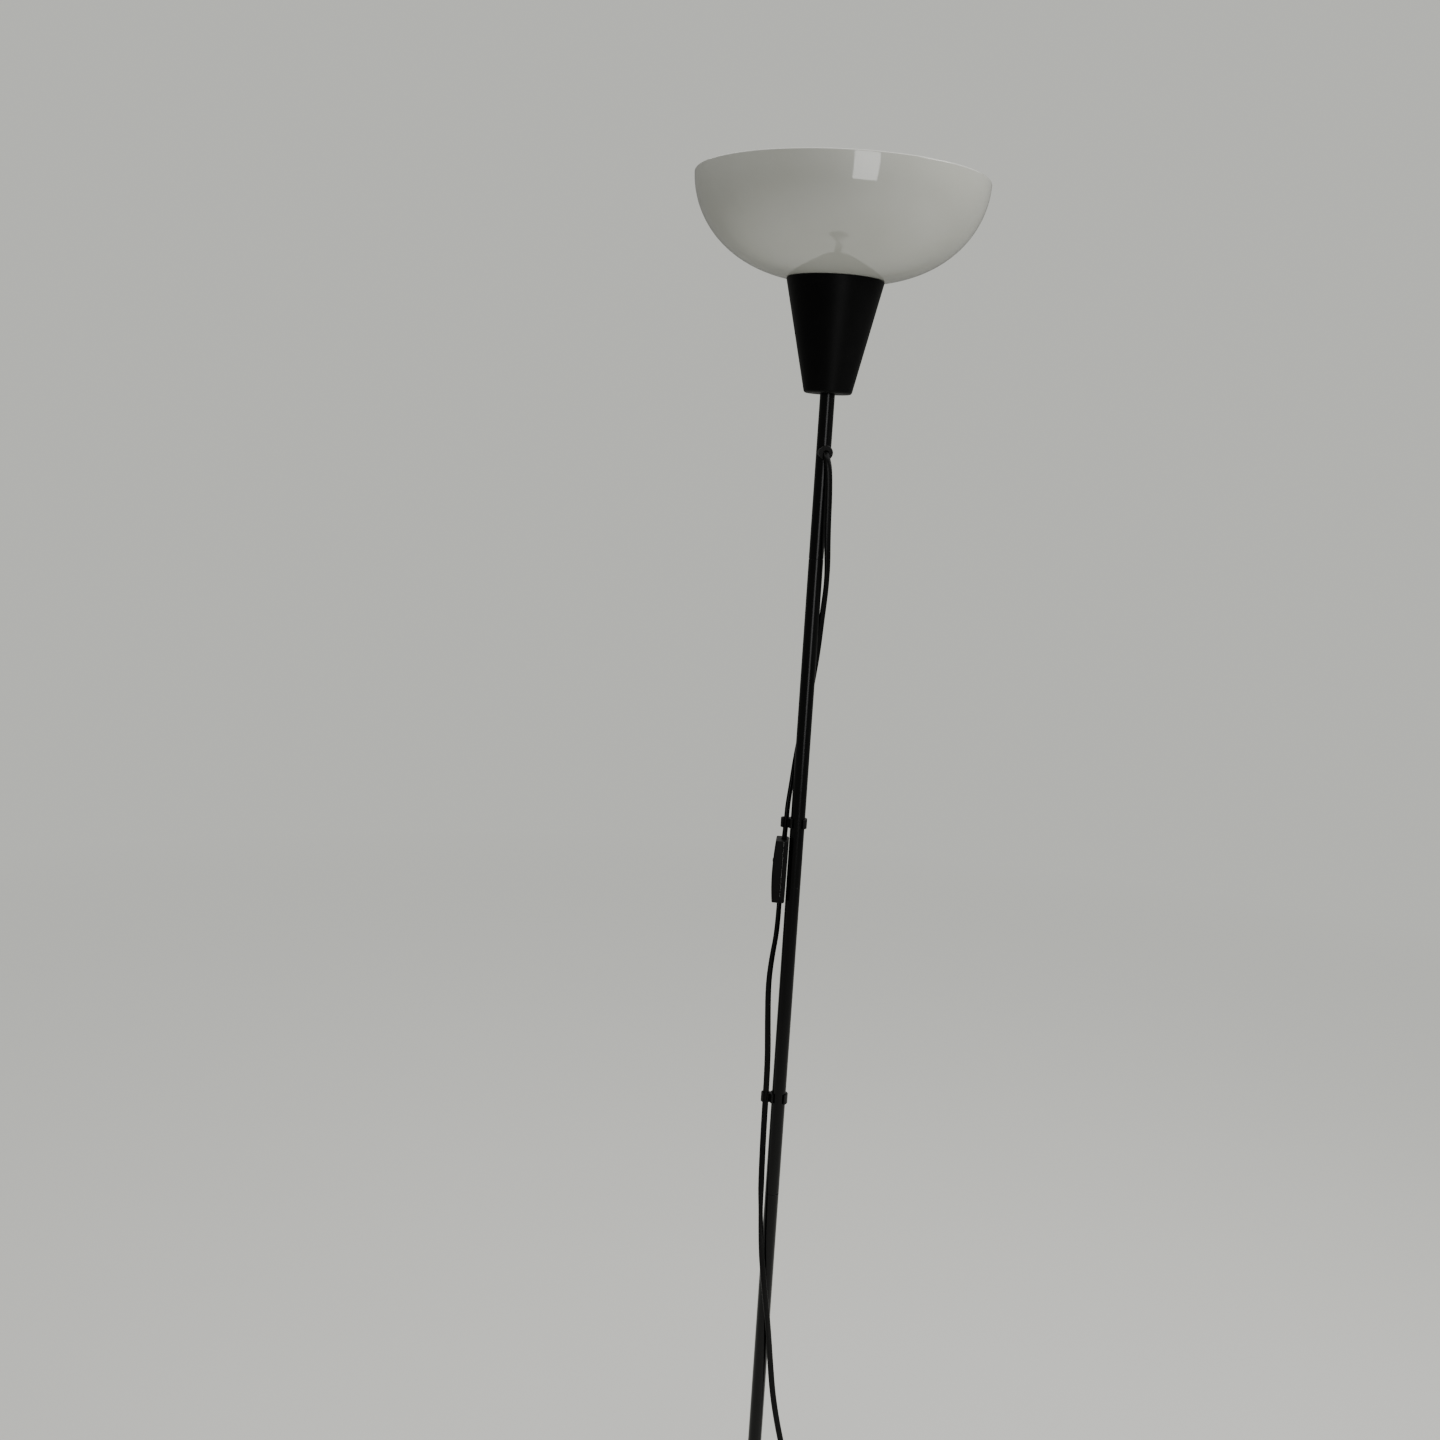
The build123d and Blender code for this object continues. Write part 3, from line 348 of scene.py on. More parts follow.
# %% Shader maths
class Wire:
    """One output of a material's node tree, which can be added, taken away, multiplied and mixed."""

    def __init__(self, tree, socket=None):
        self.tree, self.socket = tree, socket

    def node(self, kind, settings=None, sockets=None, output=0):
        """Adds a node: its settings first, then its sockets by name or number, as values or wires."""
        made = self.tree.nodes.new(kind)
        for name, value in (settings or {}).items():
            setattr(made, name, value)
        for name, value in (sockets or {}).items():
            if isinstance(value, Wire):
                self.tree.links.new(value.socket, made.inputs[name])
            else:
                made.inputs[name].default_value = value
        return Wire(self.tree, made.outputs[output] if made.outputs else None)

    def maths(self, operation, first, second, clamp=False):
        settings = {"operation": operation, "use_clamp": clamp}
        return self.node("ShaderNodeMath", settings, {0: first, 1: second})

    def __add__(self, other):
        return self.maths("ADD", self, other)

    def __sub__(self, other):
        return self.maths("SUBTRACT", self, other)

    def __mul__(self, other):
        return self.maths("MULTIPLY", self, other)

    def above(self, low, high):
        """0 below low, 1 above high, and a straight climb between them."""
        return self.maths("DIVIDE", self - low, high - low, clamp=True)

    def mix(self, first, second):
        """A colour that goes from the first to the second as this wire goes from 0 to 1."""
        return self.node("ShaderNodeMix", {"data_type": "RGBA"}, {0: self, 6: first, 7: second}, 2)

    def noise(self, place, size, detail=3.0, stretch=None):
        """Noise whose spots are about size metres across, from 0 to 1."""
        if stretch:
            place = self.node("ShaderNodeMapping", {}, {"Vector": place, "Scale": stretch})
        sockets = {"Vector": place, "Scale": 1 / size, "Detail": detail, "Roughness": 0.55}
        return self.node("ShaderNodeTexNoise", {}, sockets)


def grey(value, warm=0.0):
    """A colour near grey; warm above 0 leans to yellow, and below 0 to blue."""
    return (value * (1 + warm), value, value * (1 - warm), 1.0)


# %% [markdown]
# Real surfaces are never one even colour. A start is the same for all of them: soft patches in the
# colour, a finer mottle in the gloss, a grain that catches the light as a bump, and a little dust on
# what faces up. Each finish says how strong and how large these are, and then adds what is its own.

# %% A common start for the finishes
finishes = {}


def finish(slot, colours, gloss, grain, patch, specular=0.5, dust=0.0, height=None, blend=None,
           **constants):
    """A Principled material from two colours, (roughness, swing), (grain size, grain depth) and the
    size of its patches. A height function adds to its relief, and a blend function to its colour."""
    material = bpy.data.materials.new(slot)
    material.use_nodes = True
    tree = material.node_tree
    tree.nodes.clear()
    start = Wire(tree)
    place = start.node("ShaderNodeTexCoord", {}, {}, "Object")
    patches = start.noise(place, patch).above(0.35, 0.65)
    colour = patches.mix(*colours)
    if blend:
        colour = blend(start, place, colour)
    mottle = start.noise(place, patch / 6, 4.0)
    roughness = mottle * gloss[1] + (gloss[0] - gloss[1] / 2)
    if dust:
        facing = start.node("ShaderNodeNewGeometry", {}, {}, "Normal")
        up = start.node("ShaderNodeSeparateXYZ", {}, {0: facing}, 2)
        flecks = start.noise(place, 0.0009, 2.0).above(0.5, 0.72)
        settled = up.above(0.35, 1.0) * (flecks * 0.7 + 0.3) * dust
        colour = settled.mix(colour, grey(0.34, 0.06))
        roughness = roughness + settled * 0.35
    relief = start.noise(place, grain[0])
    if height:
        relief = height(start, place, relief)
    bump = start.node("ShaderNodeBump", {}, {"Strength": 1.0, "Distance": grain[1], "Height": relief})
    shader = start.node("ShaderNodeBsdfPrincipled", {}, {
        "Base Color": colour, "Roughness": roughness, "Specular IOR Level": specular,
        "Normal": bump, **constants,
    })
    start.node("ShaderNodeOutputMaterial", {}, {"Surface": shader})
    finishes[slot] = material


# %% [markdown]
# The bowl is opal acrylic: milky, smooth and glossy, with a little light inside it. Its sheet was drawn
# down over a mould, so its face has a long, weak waviness, and dust and fine hairlines show in the gloss.

# %% Opal acrylic
def opal_specks(start, place, colour):
    specks = start.noise(place, 0.0011, 1.0).above(0.73, 0.8)
    return (specks * 0.35).mix(colour, grey(0.26, 0.05))


def opal_waves(start, place, relief):
    waves = start.noise(place, 0.055, 1.0)
    hairs = start.noise(place, 0.0016, 2.0, (1.0, 1.0, 9.0)).above(0.62, 0.75)
    return waves * 60.0 + relief - hairs * 0.3


opal_colours = (0.49, 0.495, 0.445, 1.0), (0.52, 0.525, 0.48, 1.0)
finish("opal_shade", opal_colours, (0.055, 0.02), (0.0016, 0.000002), 0.09, specular=0.95,
       dust=0.12, height=opal_waves, blend=opal_specks,
       **{"Subsurface Weight": 0.12, "Subsurface Radius": (0.01, 0.009, 0.008)})

# %% [markdown]
# The metalwork is black powder coat. The cone and the base cover are satin with a fine grain, and the
# tubes are glossier, with the weak orange peel that coating leaves on a drawn tube.

# %% Powder coats
finish("black_cone", (grey(0.0016, -0.05), grey(0.0026, -0.02)), (0.42, 0.1), (0.0007, 0.00001), 0.04,
       specular=0.07, dust=0.03)
finish("black_cover", (grey(0.003, -0.03), grey(0.0045, 0.0)), (0.38, 0.12), (0.0008, 0.00001), 0.06,
       specular=0.16, dust=0.05)
finish("black_tube", (grey(0.0012, -0.06), grey(0.002, -0.04)), (0.19, 0.04), (0.0022, 0.000001), 0.05,
       specular=0.2)

# %% [markdown]
# The small black fittings and the switch are moulded plastics. The switch has the spark-eroded texture
# that hides fingerprints, and the fittings are smoother. The rubber of the feet is duller than both.

# %% Moulded plastics and rubber
finish("black_fitting", (grey(0.0025, 0.0), grey(0.004, 0.0)), (0.32, 0.1), (0.0006, 0.000006), 0.02,
       specular=0.16, dust=0.02)
finish("switch_plastic", (grey(0.0015, -0.02), grey(0.0025, 0.0)), (0.40, 0.1), (0.0004, 0.000008), 0.02,
       specular=0.13, dust=0.01)
finish("rubber_foot", (grey(0.016, 0.02), grey(0.026, 0.03)), (0.78, 0.1), (0.0008, 0.00006), 0.01,
       specular=0.3)
finish("block_cream", (grey(0.62, 0.09), grey(0.55, 0.11)), (0.35, 0.12), (0.0009, 0.00002), 0.01)


# %% [markdown]
# The lead is soft PVC. Its finish follows the piece's own UV map, so its long drawn marks run along the
# cord. The shallow groove between the two cores of such a cord is left out.

# %% Soft PVC of the lead
def drawn_marks(start, place, relief):
    along = start.node("ShaderNodeUVMap", {"uv_map": "along"}, {})
    marks = start.node("ShaderNodeMapping", {}, {"Vector": along, "Scale": (18.0, 30.0, 1.0)})
    lines = start.node("ShaderNodeTexNoise", {}, {"Vector": marks, "Scale": 1.0, "Detail": 2.0})
    return relief * 0.4 + lines


finish("cord_pvc", (grey(0.002, 0.0), grey(0.003, 0.0)), (0.28, 0.08), (0.0015, 0.000006), 0.03,
       specular=0.12, height=drawn_marks)


# %% [markdown]
# Metals take their look from the way they were worked. Turned and pressed steel shows fine lines, a cast
# weight is rough all over, and nickel and brass are smooth with soft tarnish.

# %% Metals
def fine_lines(start, place, relief):
    return start.noise(place, 0.0009, 2.0, (1.0, 1.0, 14.0)) + relief * 0.3


def tarnish(start, place, colour):
    spots = start.noise(place, 0.004, 5.0).above(0.48, 0.68)
    return (spots * 0.4).mix(colour, grey(0.16, 0.12))


finish("zinc_steel", (grey(0.50, -0.03), grey(0.62, -0.01)), (0.30, 0.16), (0.0006, 0.00002), 0.008,
       height=fine_lines, blend=tarnish, Metallic=1.0)
finish("nickel", (grey(0.66, 0.03), grey(0.72, 0.02)), (0.20, 0.12), (0.0006, 0.00001), 0.01,
       height=fine_lines, blend=tarnish, Metallic=1.0)
finish("brass", ((0.60, 0.42, 0.16, 1.0), (0.70, 0.50, 0.22, 1.0)), (0.28, 0.14), (0.0006, 0.00001),
       0.008, blend=tarnish, Metallic=1.0)
finish("steel_sheet", (grey(0.40, -0.04), grey(0.52, -0.02)), (0.38, 0.16), (0.002, 0.00002), 0.02,
       height=fine_lines, blend=tarnish, Metallic=1.0)
finish("iron_weight", (grey(0.05, 0.02), grey(0.08, 0.05)), (0.62, 0.2), (0.0025, 0.0002), 0.03,
       Metallic=0.6)

# %% [markdown]
# The lamp bulb has an opal globe on a matt white housing. The globe is polycarbonate, glossier and a
# little warmer than the housing.

# %% Bulb plastics
finish("bulb_opal", (grey(0.78, 0.025), grey(0.82, 0.015)), (0.22, 0.08), (0.002, 0.000004), 0.04,
       dust=0.08, **{"Subsurface Weight": 0.25, "Subsurface Radius": (0.008, 0.007, 0.006)})
finish("bulb_white", (grey(0.72, 0.02), grey(0.77, 0.01)), (0.42, 0.1), (0.0008, 0.00003), 0.02,
       dust=0.08)
print("finishes", len(finishes))

# %% [markdown]
# Most of this lamp was turned, spun or drawn, so one helper spins an outline about the upright axis. An
# outline is a list of corners, each with its own rounding, and a second helper turns the roundings
# into short arcs, because no real edge is perfectly sharp.

# %% Rounded outlines
arc_steps = 5


def rounded(corners):
    """Points of a closed outline from corners (radius, height) or (radius, height, rounding)."""
    points = []
    for index, corner in enumerate(corners):
        here = Vector(corner[:2])
        rounding = corner[2] if len(corner) > 2 else 0.0
        if not rounding:
            points.append(here)
            continue
        before = Vector(corners[index - 1][:2]) - here
        after = Vector(corners[(index + 1) % len(corners)][:2]) - here
        half = before.angle(after) / 2
        back = rounding / math.tan(half)
        first, last = here + before.normalized() * back, here + after.normalized() * back
        inward = (before.normalized() + after.normalized()).normalized()
        middle = here + inward * rounding / math.sin(half)
        for step in range(arc_steps + 1):
            spoke = (first - middle).lerp(last - middle, step / arc_steps)
            points.append(middle + spoke.normalized() * rounding)
    return points


# %% Turned pieces
axis_radius = 1e-6  # a point nearer the axis than this is one point, not a ring


def finished_mesh(name, work):
    """Makes a smooth piece at the origin from mesh code."""
    for face in work.faces:
        face.smooth = True
    mesh = bpy.data.meshes.new(name)
    work.to_mesh(mesh)
    work.free()
    piece = bpy.data.objects.new(name, mesh)
    bpy.context.collection.objects.link(piece)
    return piece


def even_normals(piece):
    """Keeps flat faces flat to the light where they run into a small rounding."""
    modifier = piece.modifiers.new("even normals", "WEIGHTED_NORMAL")
    modifier.keep_sharp = True
    modifier.weight = 80
    return piece


def fine_wall(radius, low, high, steps):
    """Evenly spaced places up a straight wall, close enough together to carry a thread."""
    return [(radius, low + (high - low) * step / steps) for step in range(steps + 1)]


def turned(name, outline, segments, thread=None, place=None):
    """Spins a closed outline in millimetres about the axis. A thread is (low, high, least radius that
    it touches, pitch, depth), and place is a matrix that moves the finished piece."""
    work = bmesh.new()
    rings = []
    for radius, height in outline:
        if radius < axis_radius:
            rings.append([work.verts.new((0, 0, height * MM))])
            continue
        ring = []
        for step in range(segments):
            share = step / segments
            reach = radius
            if thread and thread[0] <= height <= thread[1] and radius > thread[2]:
                wave = math.cos(2 * math.pi * (height / thread[3] - share))
                ends = min(1.0, (height - thread[0]) / thread[3], (thread[1] - height) / thread[3])
                reach -= thread[4] * ends * (0.5 - 0.5 * wave)
            turn = 2 * math.pi * share
            ring.append(work.verts.new((
                reach * MM * math.cos(turn), reach * MM * math.sin(turn), height * MM,
            )))
        rings.append(ring)
    for first, second in zip(rings, rings[1:] + rings[:1]):
        for step in range(segments):
            after = (step + 1) % segments
            corners = [first[step % len(first)], first[after % len(first)],
                       second[after % len(second)], second[step % len(second)]]
            loop = list(dict.fromkeys(corners))
            if len(loop) > 2:
                work.faces.new(loop)
    bmesh.ops.recalc_face_normals(work, faces=work.faces)
    if place:
        bmesh.ops.transform(work, matrix=place, verts=work.verts)
    return even_normals(finished_mesh(name, work))


# %% [markdown]
# Pieces that were moulded to an odd shape already have it in the CAD model. For these the CAD mesh is
# copied, its loose triangles are joined up and its flat faces made whole, and a small bevel breaks the
# sharp edges, so that they catch the light as moulded edges do.

# %% Softened pieces
crease, flat = math.radians(32), math.radians(0.6)
joined_within = 2e-6


def softened(node, edge):
    """A copy of a CAD node with joined faces and edges broken by edge millimetres."""
    work = bmesh.new()
    work.from_mesh(frame["nodes"][node].data)
    bmesh.ops.remove_doubles(work, verts=work.verts, dist=joined_within)
    bmesh.ops.dissolve_limit(work, angle_limit=flat, verts=work.verts, edges=work.edges)
    piece = finished_mesh("soft_" + node, work)
    if edge:
        bevel = piece.modifiers.new("broken edges", "BEVEL")
        bevel.width = edge * MM
        bevel.segments = 2
        bevel.limit_method = "ANGLE"
        bevel.angle_limit = crease
        bevel.use_clamp_overlap = True
    return even_normals(piece)


# %% Putting a piece in its place
slot_of = {part["node"]: part["material_slot"] for part in frame["record"]["subparts"]}
body_of = {}
for body_name, members in frame["record"]["behaviour"]["bodies"].items():
    for member in members:
        body_of[member] = body_name
dressed = set()


def stands_for(piece, node):
    """The piece rides on the node's body, takes its place, and wears its finish."""
    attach(piece, body_of[node])
    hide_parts(node)
    piece.data.materials.clear()
    piece.data.materials.append(finishes[slot_of[node]])
    dressed.add(node)
    return piece


# %% Dress the lead
for lead in (lead_upper, lead_lower):
    lead.data.materials.append(finishes["cord_pvc"])
    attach(lead, "stand")
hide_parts("cord_upper")
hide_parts("cord_lower", "cord_coil", "cord_tail")
dressed.update(("cord_upper", "cord_lower", "cord_coil", "cord_tail"))

# %% [markdown]
# The bowl is the piece that everyone looks at, so its outline is a formula and not a few corners: a
# rounded-square curve, square at the shoulder and nearly flat at the bottom, with a soft rounded lip at
# the rim. The same formula one wall thickness inside gives its inner face.

# %% Bowl
seat_z = shade_low.z / MM
rim_height = shade_high.z / MM
shade_radius, shade_depth, shade_wall = 144.5, 97.3, 2.5
side_power, floor_power = 2.55, 1.97
seat_radius, shade_hole_radius = 34.0, 20.3
lip_depth, lip_flare = 2.08, 0.1
bowl_steps = 72


def bowl_curve(inside):
    """The bowl's face from the rim down to its flat seat, a distance inside its outer face."""
    radius, depth = shade_radius - inside, shade_depth - inside
    start = math.acos((seat_radius / radius) ** (side_power / 2))
    curve = []
    for step in range(bowl_steps + 1):
        angle = start * step / bowl_steps
        across = radius * math.cos(angle) ** (2 / side_power)
        curve.append((across, rim_height - depth * math.sin(angle) ** (2 / floor_power)))
    return curve


lip_foot = rim_height - lip_depth
outer_face = [spot for spot in bowl_curve(0.0) if spot[1] < lip_foot]
inner_face = [spot for spot in bowl_curve(shade_wall) if spot[1] < lip_foot]
floor_z = inner_face[-1][1]
bowl_corners = (
    outer_face
    + [(shade_hole_radius, outer_face[-1][1], 0.4), (shade_hole_radius, floor_z, 0.4)]
    + inner_face[::-1]
    + [(shade_radius - shade_wall, rim_height, 0.9), (shade_radius + lip_flare, rim_height, 1.1)]
)
shade_bowl = stands_for(turned("shade_bowl", rounded(bowl_corners), 224), "shade")
print("bowl", len(shade_bowl.data.polygons), "faces, floor inside at", round(floor_z, 1))

# %% [markdown]
# The cone is a spun cup that hides the lampholder. The pole is let into its floor, and a fine rounding
# runs round its top edge, just clear of the bowl.

# %% Cone
cone_foot, cone_top = heights("socket_cone")
cone_foot_radius, cone_top_radius = 23.8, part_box("socket_cone")[1].x / MM
cone_wall, cone_floor = 2.0, 4.0
tube_radius, tube_seat, nipple_radius = 7.5, 1.5, 5.0
nipple_clear, tube_clear = 0.05, 0.15
cone_corners = [
    (nipple_radius + nipple_clear, cone_foot + cone_floor),
    (nipple_radius + nipple_clear, cone_foot + tube_seat),
    (tube_radius + tube_clear, cone_foot + tube_seat),
    (tube_radius + tube_clear, cone_foot, 0.4),
    (cone_foot_radius, cone_foot, 3.0),
    (cone_top_radius, cone_top, 0.8),
    (cone_top_radius - cone_wall, cone_top, 0.4),
    (cone_foot_radius - cone_wall + 1, cone_foot + cone_floor, 2.0),
]
stands_for(turned("cone_cup", rounded(cone_corners), 160), "socket_cone")
print("cone", round(cone_foot, 1), "to", round(cone_top, 1))

# %% [markdown]
# The pole is five lengths of tube. Each end is cut square and its edge is just broken, so that the two
# edges and the thin collar of the stud between them read as one fine ring at every joint.

# %% Tubes
tube_wall, tube_edge = 1.0, 0.22
for number in ("1", "2", "3", "4"):
    low, high = heights("tube_section_" + number)
    corners = [
        (tube_radius - tube_wall, low),
        (tube_radius, low, tube_edge),
        (tube_radius, high, tube_edge),
        (tube_radius - tube_wall, high),
    ]
    stands_for(turned("pole_" + number, rounded(corners), 72), "tube_section_" + number)

# %% [markdown]
# The base cover is pressed from sheet: a low crown, a rounded shoulder and a short skirt, with a neck in
# the middle that carries the pole. It hides the weight and stops a millimetre above the floor.

# %% Base cover
cover_foot, collar_top = heights("base_cover")
weight_top = heights("base_weight")[1]
cover_radius, collar_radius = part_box("base_cover")[1].x / MM, 13.0
crown_z, edge_z, cover_wall, bolt_hole = 24.0, 16.5, 2.2, 4.3
cover_corners = [
    (bolt_hole, weight_top),
    (collar_radius, weight_top),
    (collar_radius, crown_z - cover_wall, 1.5),
    (cover_radius - cover_wall, edge_z - cover_wall, 5.0),
    (cover_radius - cover_wall, cover_foot, 0.5),
    (cover_radius, cover_foot, 0.9),
    (cover_radius, edge_z, 7.0),
    (collar_radius, crown_z, 5.0),
    (collar_radius, collar_top, 1.5),
    (bolt_hole, collar_top),
]
stands_for(turned("cover_pressing", rounded(cover_corners), 224), "base_cover")

# %% [markdown]
# Things that repeat round the axis, such as feet, grips and ribs, are made once and set out by Geometry
# Nodes: a circle of points, the piece on every point, turned outwards. The result is made real and
# copied to a plain mesh, so that nothing in the finished model depends on the node tree.

# %% Set out on a circle
ring_tree = bpy.data.node_groups.new("set_out_on_circle", "GeometryNodeTree")
for label, kind in (("Count", "NodeSocketInt"), ("Radius", "NodeSocketFloat"),
                    ("Start", "NodeSocketFloat"), ("Piece", "NodeSocketObject"),
                    ("Finish", "NodeSocketMaterial")):
    ring_tree.interface.new_socket(label, in_out="INPUT", socket_type=kind)
ring_tree.interface.new_socket("Geometry", in_out="OUTPUT", socket_type="NodeSocketGeometry")


def tree_node(kind, links=None, values=None):
    """A node of the tree, with its inputs linked from (node, output) pairs or set to values."""
    made = ring_tree.nodes.new(kind)
    for name, (source, output) in (links or {}).items():
        ring_tree.links.new(source.outputs[output], made.inputs[name])
    for name, value in (values or {}).items():
        made.inputs[name].default_value = value
    return made


given = tree_node("NodeGroupInput")
circle = tree_node("GeometryNodeMeshCircle", {"Vertices": (given, "Count"), "Radius": (given, "Radius")})
number = tree_node("GeometryNodeInputIndex")
share = tree_node("ShaderNodeMath", {0: (number, 0), 1: (given, "Count")})
share.operation = "DIVIDE"
angle = tree_node("ShaderNodeMath", {0: (share, 0)}, {1: 2 * math.pi})
angle.operation = "MULTIPLY"
facing = tree_node("ShaderNodeCombineXYZ", {"Z": (angle, 0)})
model = tree_node("GeometryNodeObjectInfo", {"Object": (given, "Piece")})
copies = tree_node("GeometryNodeInstanceOnPoints", {
    "Points": (circle, 0), "Instance": (model, "Geometry"), "Rotation": (facing, 0),
})
turn = tree_node("ShaderNodeCombineXYZ", {"Z": (given, "Start")})
moved = tree_node("GeometryNodeTransform", {"Geometry": (copies, 0), "Rotation": (turn, 0)})
real = tree_node("GeometryNodeRealizeInstances", {"Geometry": (moved, 0)})
painted = tree_node("GeometryNodeSetMaterial", {"Geometry": (real, 0), "Material": (given, "Finish")})
tree_node("NodeGroupOutput", {"Geometry": (painted, 0)})


def on_circle(name, pattern, count, radius, start, slot):
    """Copies of a pattern piece on a circle, from a start angle in degrees, as one plain mesh. The
    pattern itself is removed."""
    holder = finished_mesh(name + "_holder", bmesh.new())
    modifier = holder.modifiers.new("set out", "NODES")
    modifier.node_group = ring_tree
    wanted = {"Count": count, "Radius": radius * MM, "Start": math.radians(start),
              "Piece": pattern, "Finish": finishes[slot]}
    for item in ring_tree.interface.items_tree:
        if item.in_out == "INPUT":
            modifier[item.identifier] = wanted[item.name]
    bpy.context.view_layer.update()
    shape = holder.evaluated_get(bpy.context.evaluated_depsgraph_get())
    mesh = bpy.data.meshes.new_from_object(shape)
    mesh.name = name
    piece = bpy.data.objects.new(name, mesh)
    bpy.context.collection.objects.link(piece)
    bpy.data.objects.remove(holder)
    bpy.data.objects.remove(pattern)
    return piece


# %% Feet and plate screws
foot_radius, foot_height, foot_groove = 8.0, heights("base_plate")[0], 0.5
feet_circle, screws_circle, screws_start = 118.0, 90.0, 30.0
foot_corners = [
    (0, 0),
    (foot_radius - 3.2, 0, 0.3),
    (foot_radius - 3.6, foot_groove, 0.2),
    (foot_radius - 2.2, foot_groove, 0.2),
    (foot_radius - 1.8, 0, 0.2),
    (foot_radius, 0, 0.8),
    (foot_radius, foot_height, 0.15),
    (0, foot_height),
]
foot_pattern = turned("foot_pattern", rounded(foot_corners), 48)
feet = on_circle("rubber_feet", foot_pattern, 6, feet_circle, 0.0, "rubber_foot")
stands_for(feet, "base_feet")

screw_low, screw_high = heights("plate_screws")
head_radius, head_height, shank_radius, drive_depth = 3.6, 1.6, 2.0, 0.7
screw_corners = [
    (0, screw_low + drive_depth), (1.0, screw_low + drive_depth, 0.15), (1.5, screw_low, 0.15),
    (head_radius, screw_low, 0.9), (head_radius, screw_low + head_height, 0.1),
    (shank_radius, screw_low + head_height), (shank_radius, screw_high, 0.4), (0, screw_high),
]
screw_pattern = turned("screw_pattern", rounded(screw_corners), 32)
screws = on_circle("plate_screw_set", screw_pattern, 3, screws_circle, screws_start, "zinc_steel")
stands_for(screws, "plate_screws")
print("feet", foot_height, "high, screws", round(screw_low, 1), "to", round(screw_high, 1))

# %% [markdown]
# Inside the bowl a ring with a gripped edge clamps it to the lampholder. The ring is turned, and its
# grips are small upright ribs set out with the same tree. The skirt it screws onto has a real thread.

# %% Clamping ring
ring_foot, ring_top = heights("shade_ring")
ring_radius, skirt_radius, skirt_clear = 27.0, 19.8, 0.1
rib_count, rib_radius, rib_inset = 24, 1.5, 1.55
rib_foot, rib_top = ring_foot + 0.3, ring_top - 0.5
ring_corners = [
    (skirt_radius + skirt_clear, ring_foot, 0.3),
    (ring_radius - 0.7, ring_foot, 0.3),
    (ring_radius - 0.7, ring_top, 0.8),
    (skirt_radius + skirt_clear, ring_top, 0.5),
]
ring_body = turned("ring_body", rounded(ring_corners), 120)
rib_corners = [(0, rib_foot), (rib_radius, rib_foot, 0.3), (rib_radius, rib_top, 0.6), (0, rib_top)]
rib_pattern = turned("rib_pattern", rounded(rib_corners), 10)
ring_ribs = on_circle(
    "ring_ribs", rib_pattern, rib_count, ring_radius - rib_inset, 0.0, "black_fitting"
)
stands_for(ring_body, "shade_ring")
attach(ring_ribs, "stand")

# %% Lampholder
skirt_top = seat_z + 16.0
flange_radius, shell_radius, socket_bore = 24.0, 19.2, 14.6
shell_foot, insert_top = seat_z - 30.0, seat_z - 20.0
bore_radius, flange_foot = 16.85, seat_z - 3.0
skirt_steps = 40
skirt_low, skirt_high, skirt_pitch, skirt_depth = floor_z + 0.5, skirt_top - 1.2, 2.5, 0.75
holder_corners = [
    (bore_radius, shell_foot), (shell_radius, shell_foot, 0.6),
    (shell_radius, flange_foot), (flange_radius, flange_foot, 0.5), (flange_radius, seat_z, 0.3),
    (skirt_radius, seat_z),
    *fine_wall(skirt_radius, skirt_low, skirt_high, skirt_steps),
    (skirt_radius - 0.4, skirt_top, 0.4), (socket_bore, skirt_top, 0.8),
    (socket_bore, insert_top), (bore_radius, insert_top),
]
skirt_thread = (skirt_low, skirt_high, socket_bore + 2, skirt_pitch, skirt_depth)
stands_for(turned("holder_shell", rounded(holder_corners), 96, skirt_thread), "lampholder_shell")

# %% [markdown]
# The screw cap of the bulb is rolled from thin nickelled sheet, so its thread is a soft wave that
# climbs round it. The turning helper makes it by moving each point in and out with its height and turn.

# %% Bulb
tip_low = heights("bulb_tip")[0]
cap_low, cap_high = heights("bulb_cap")
cap_radius, lip_radius, thread_pitch, thread_depth = 13.2, 13.1, 3.62, 0.95
thread_low, thread_high, cap_steps = cap_low + 0.4, cap_high - 1.8, 66
cap_corners = [
    (cap_radius - 2.4, cap_low, 0.2),
    *fine_wall(cap_radius, thread_low, thread_high, cap_steps),
    (lip_radius, cap_high - 1.4, 0.5),
    (lip_radius, cap_high, 0.2),
    (cap_radius - 1.6, cap_high),
    (cap_radius - 1.6, cap_low + 1),
]
cap_thread = (thread_low, thread_high, cap_radius - 0.5, thread_pitch, thread_depth)
stands_for(turned("bulb_screw_cap", rounded(cap_corners), 80, cap_thread), "bulb_cap")

collar_low, collar_high = heights("bulb_collar")
tip_radius, collar_width = 4.6, 10.9
tip_corners = [
    (0, tip_low), (2.6, tip_low + 0.1, 1.2), (tip_radius, tip_low + 1.2, 0.8),
    (tip_radius, collar_low, 0.1), (0, collar_low),
]
stands_for(turned("bulb_contact", rounded(tip_corners), 40), "bulb_tip")
collar_corners = [
    (0, collar_low), (tip_radius, collar_low), (5.2, collar_low + 0.6, 0.5),
    (collar_width, collar_high - 0.2, 0.4), (collar_width, collar_high), (0, collar_high),
]
stands_for(turned("bulb_glass_collar", rounded(collar_corners), 56), "bulb_collar")

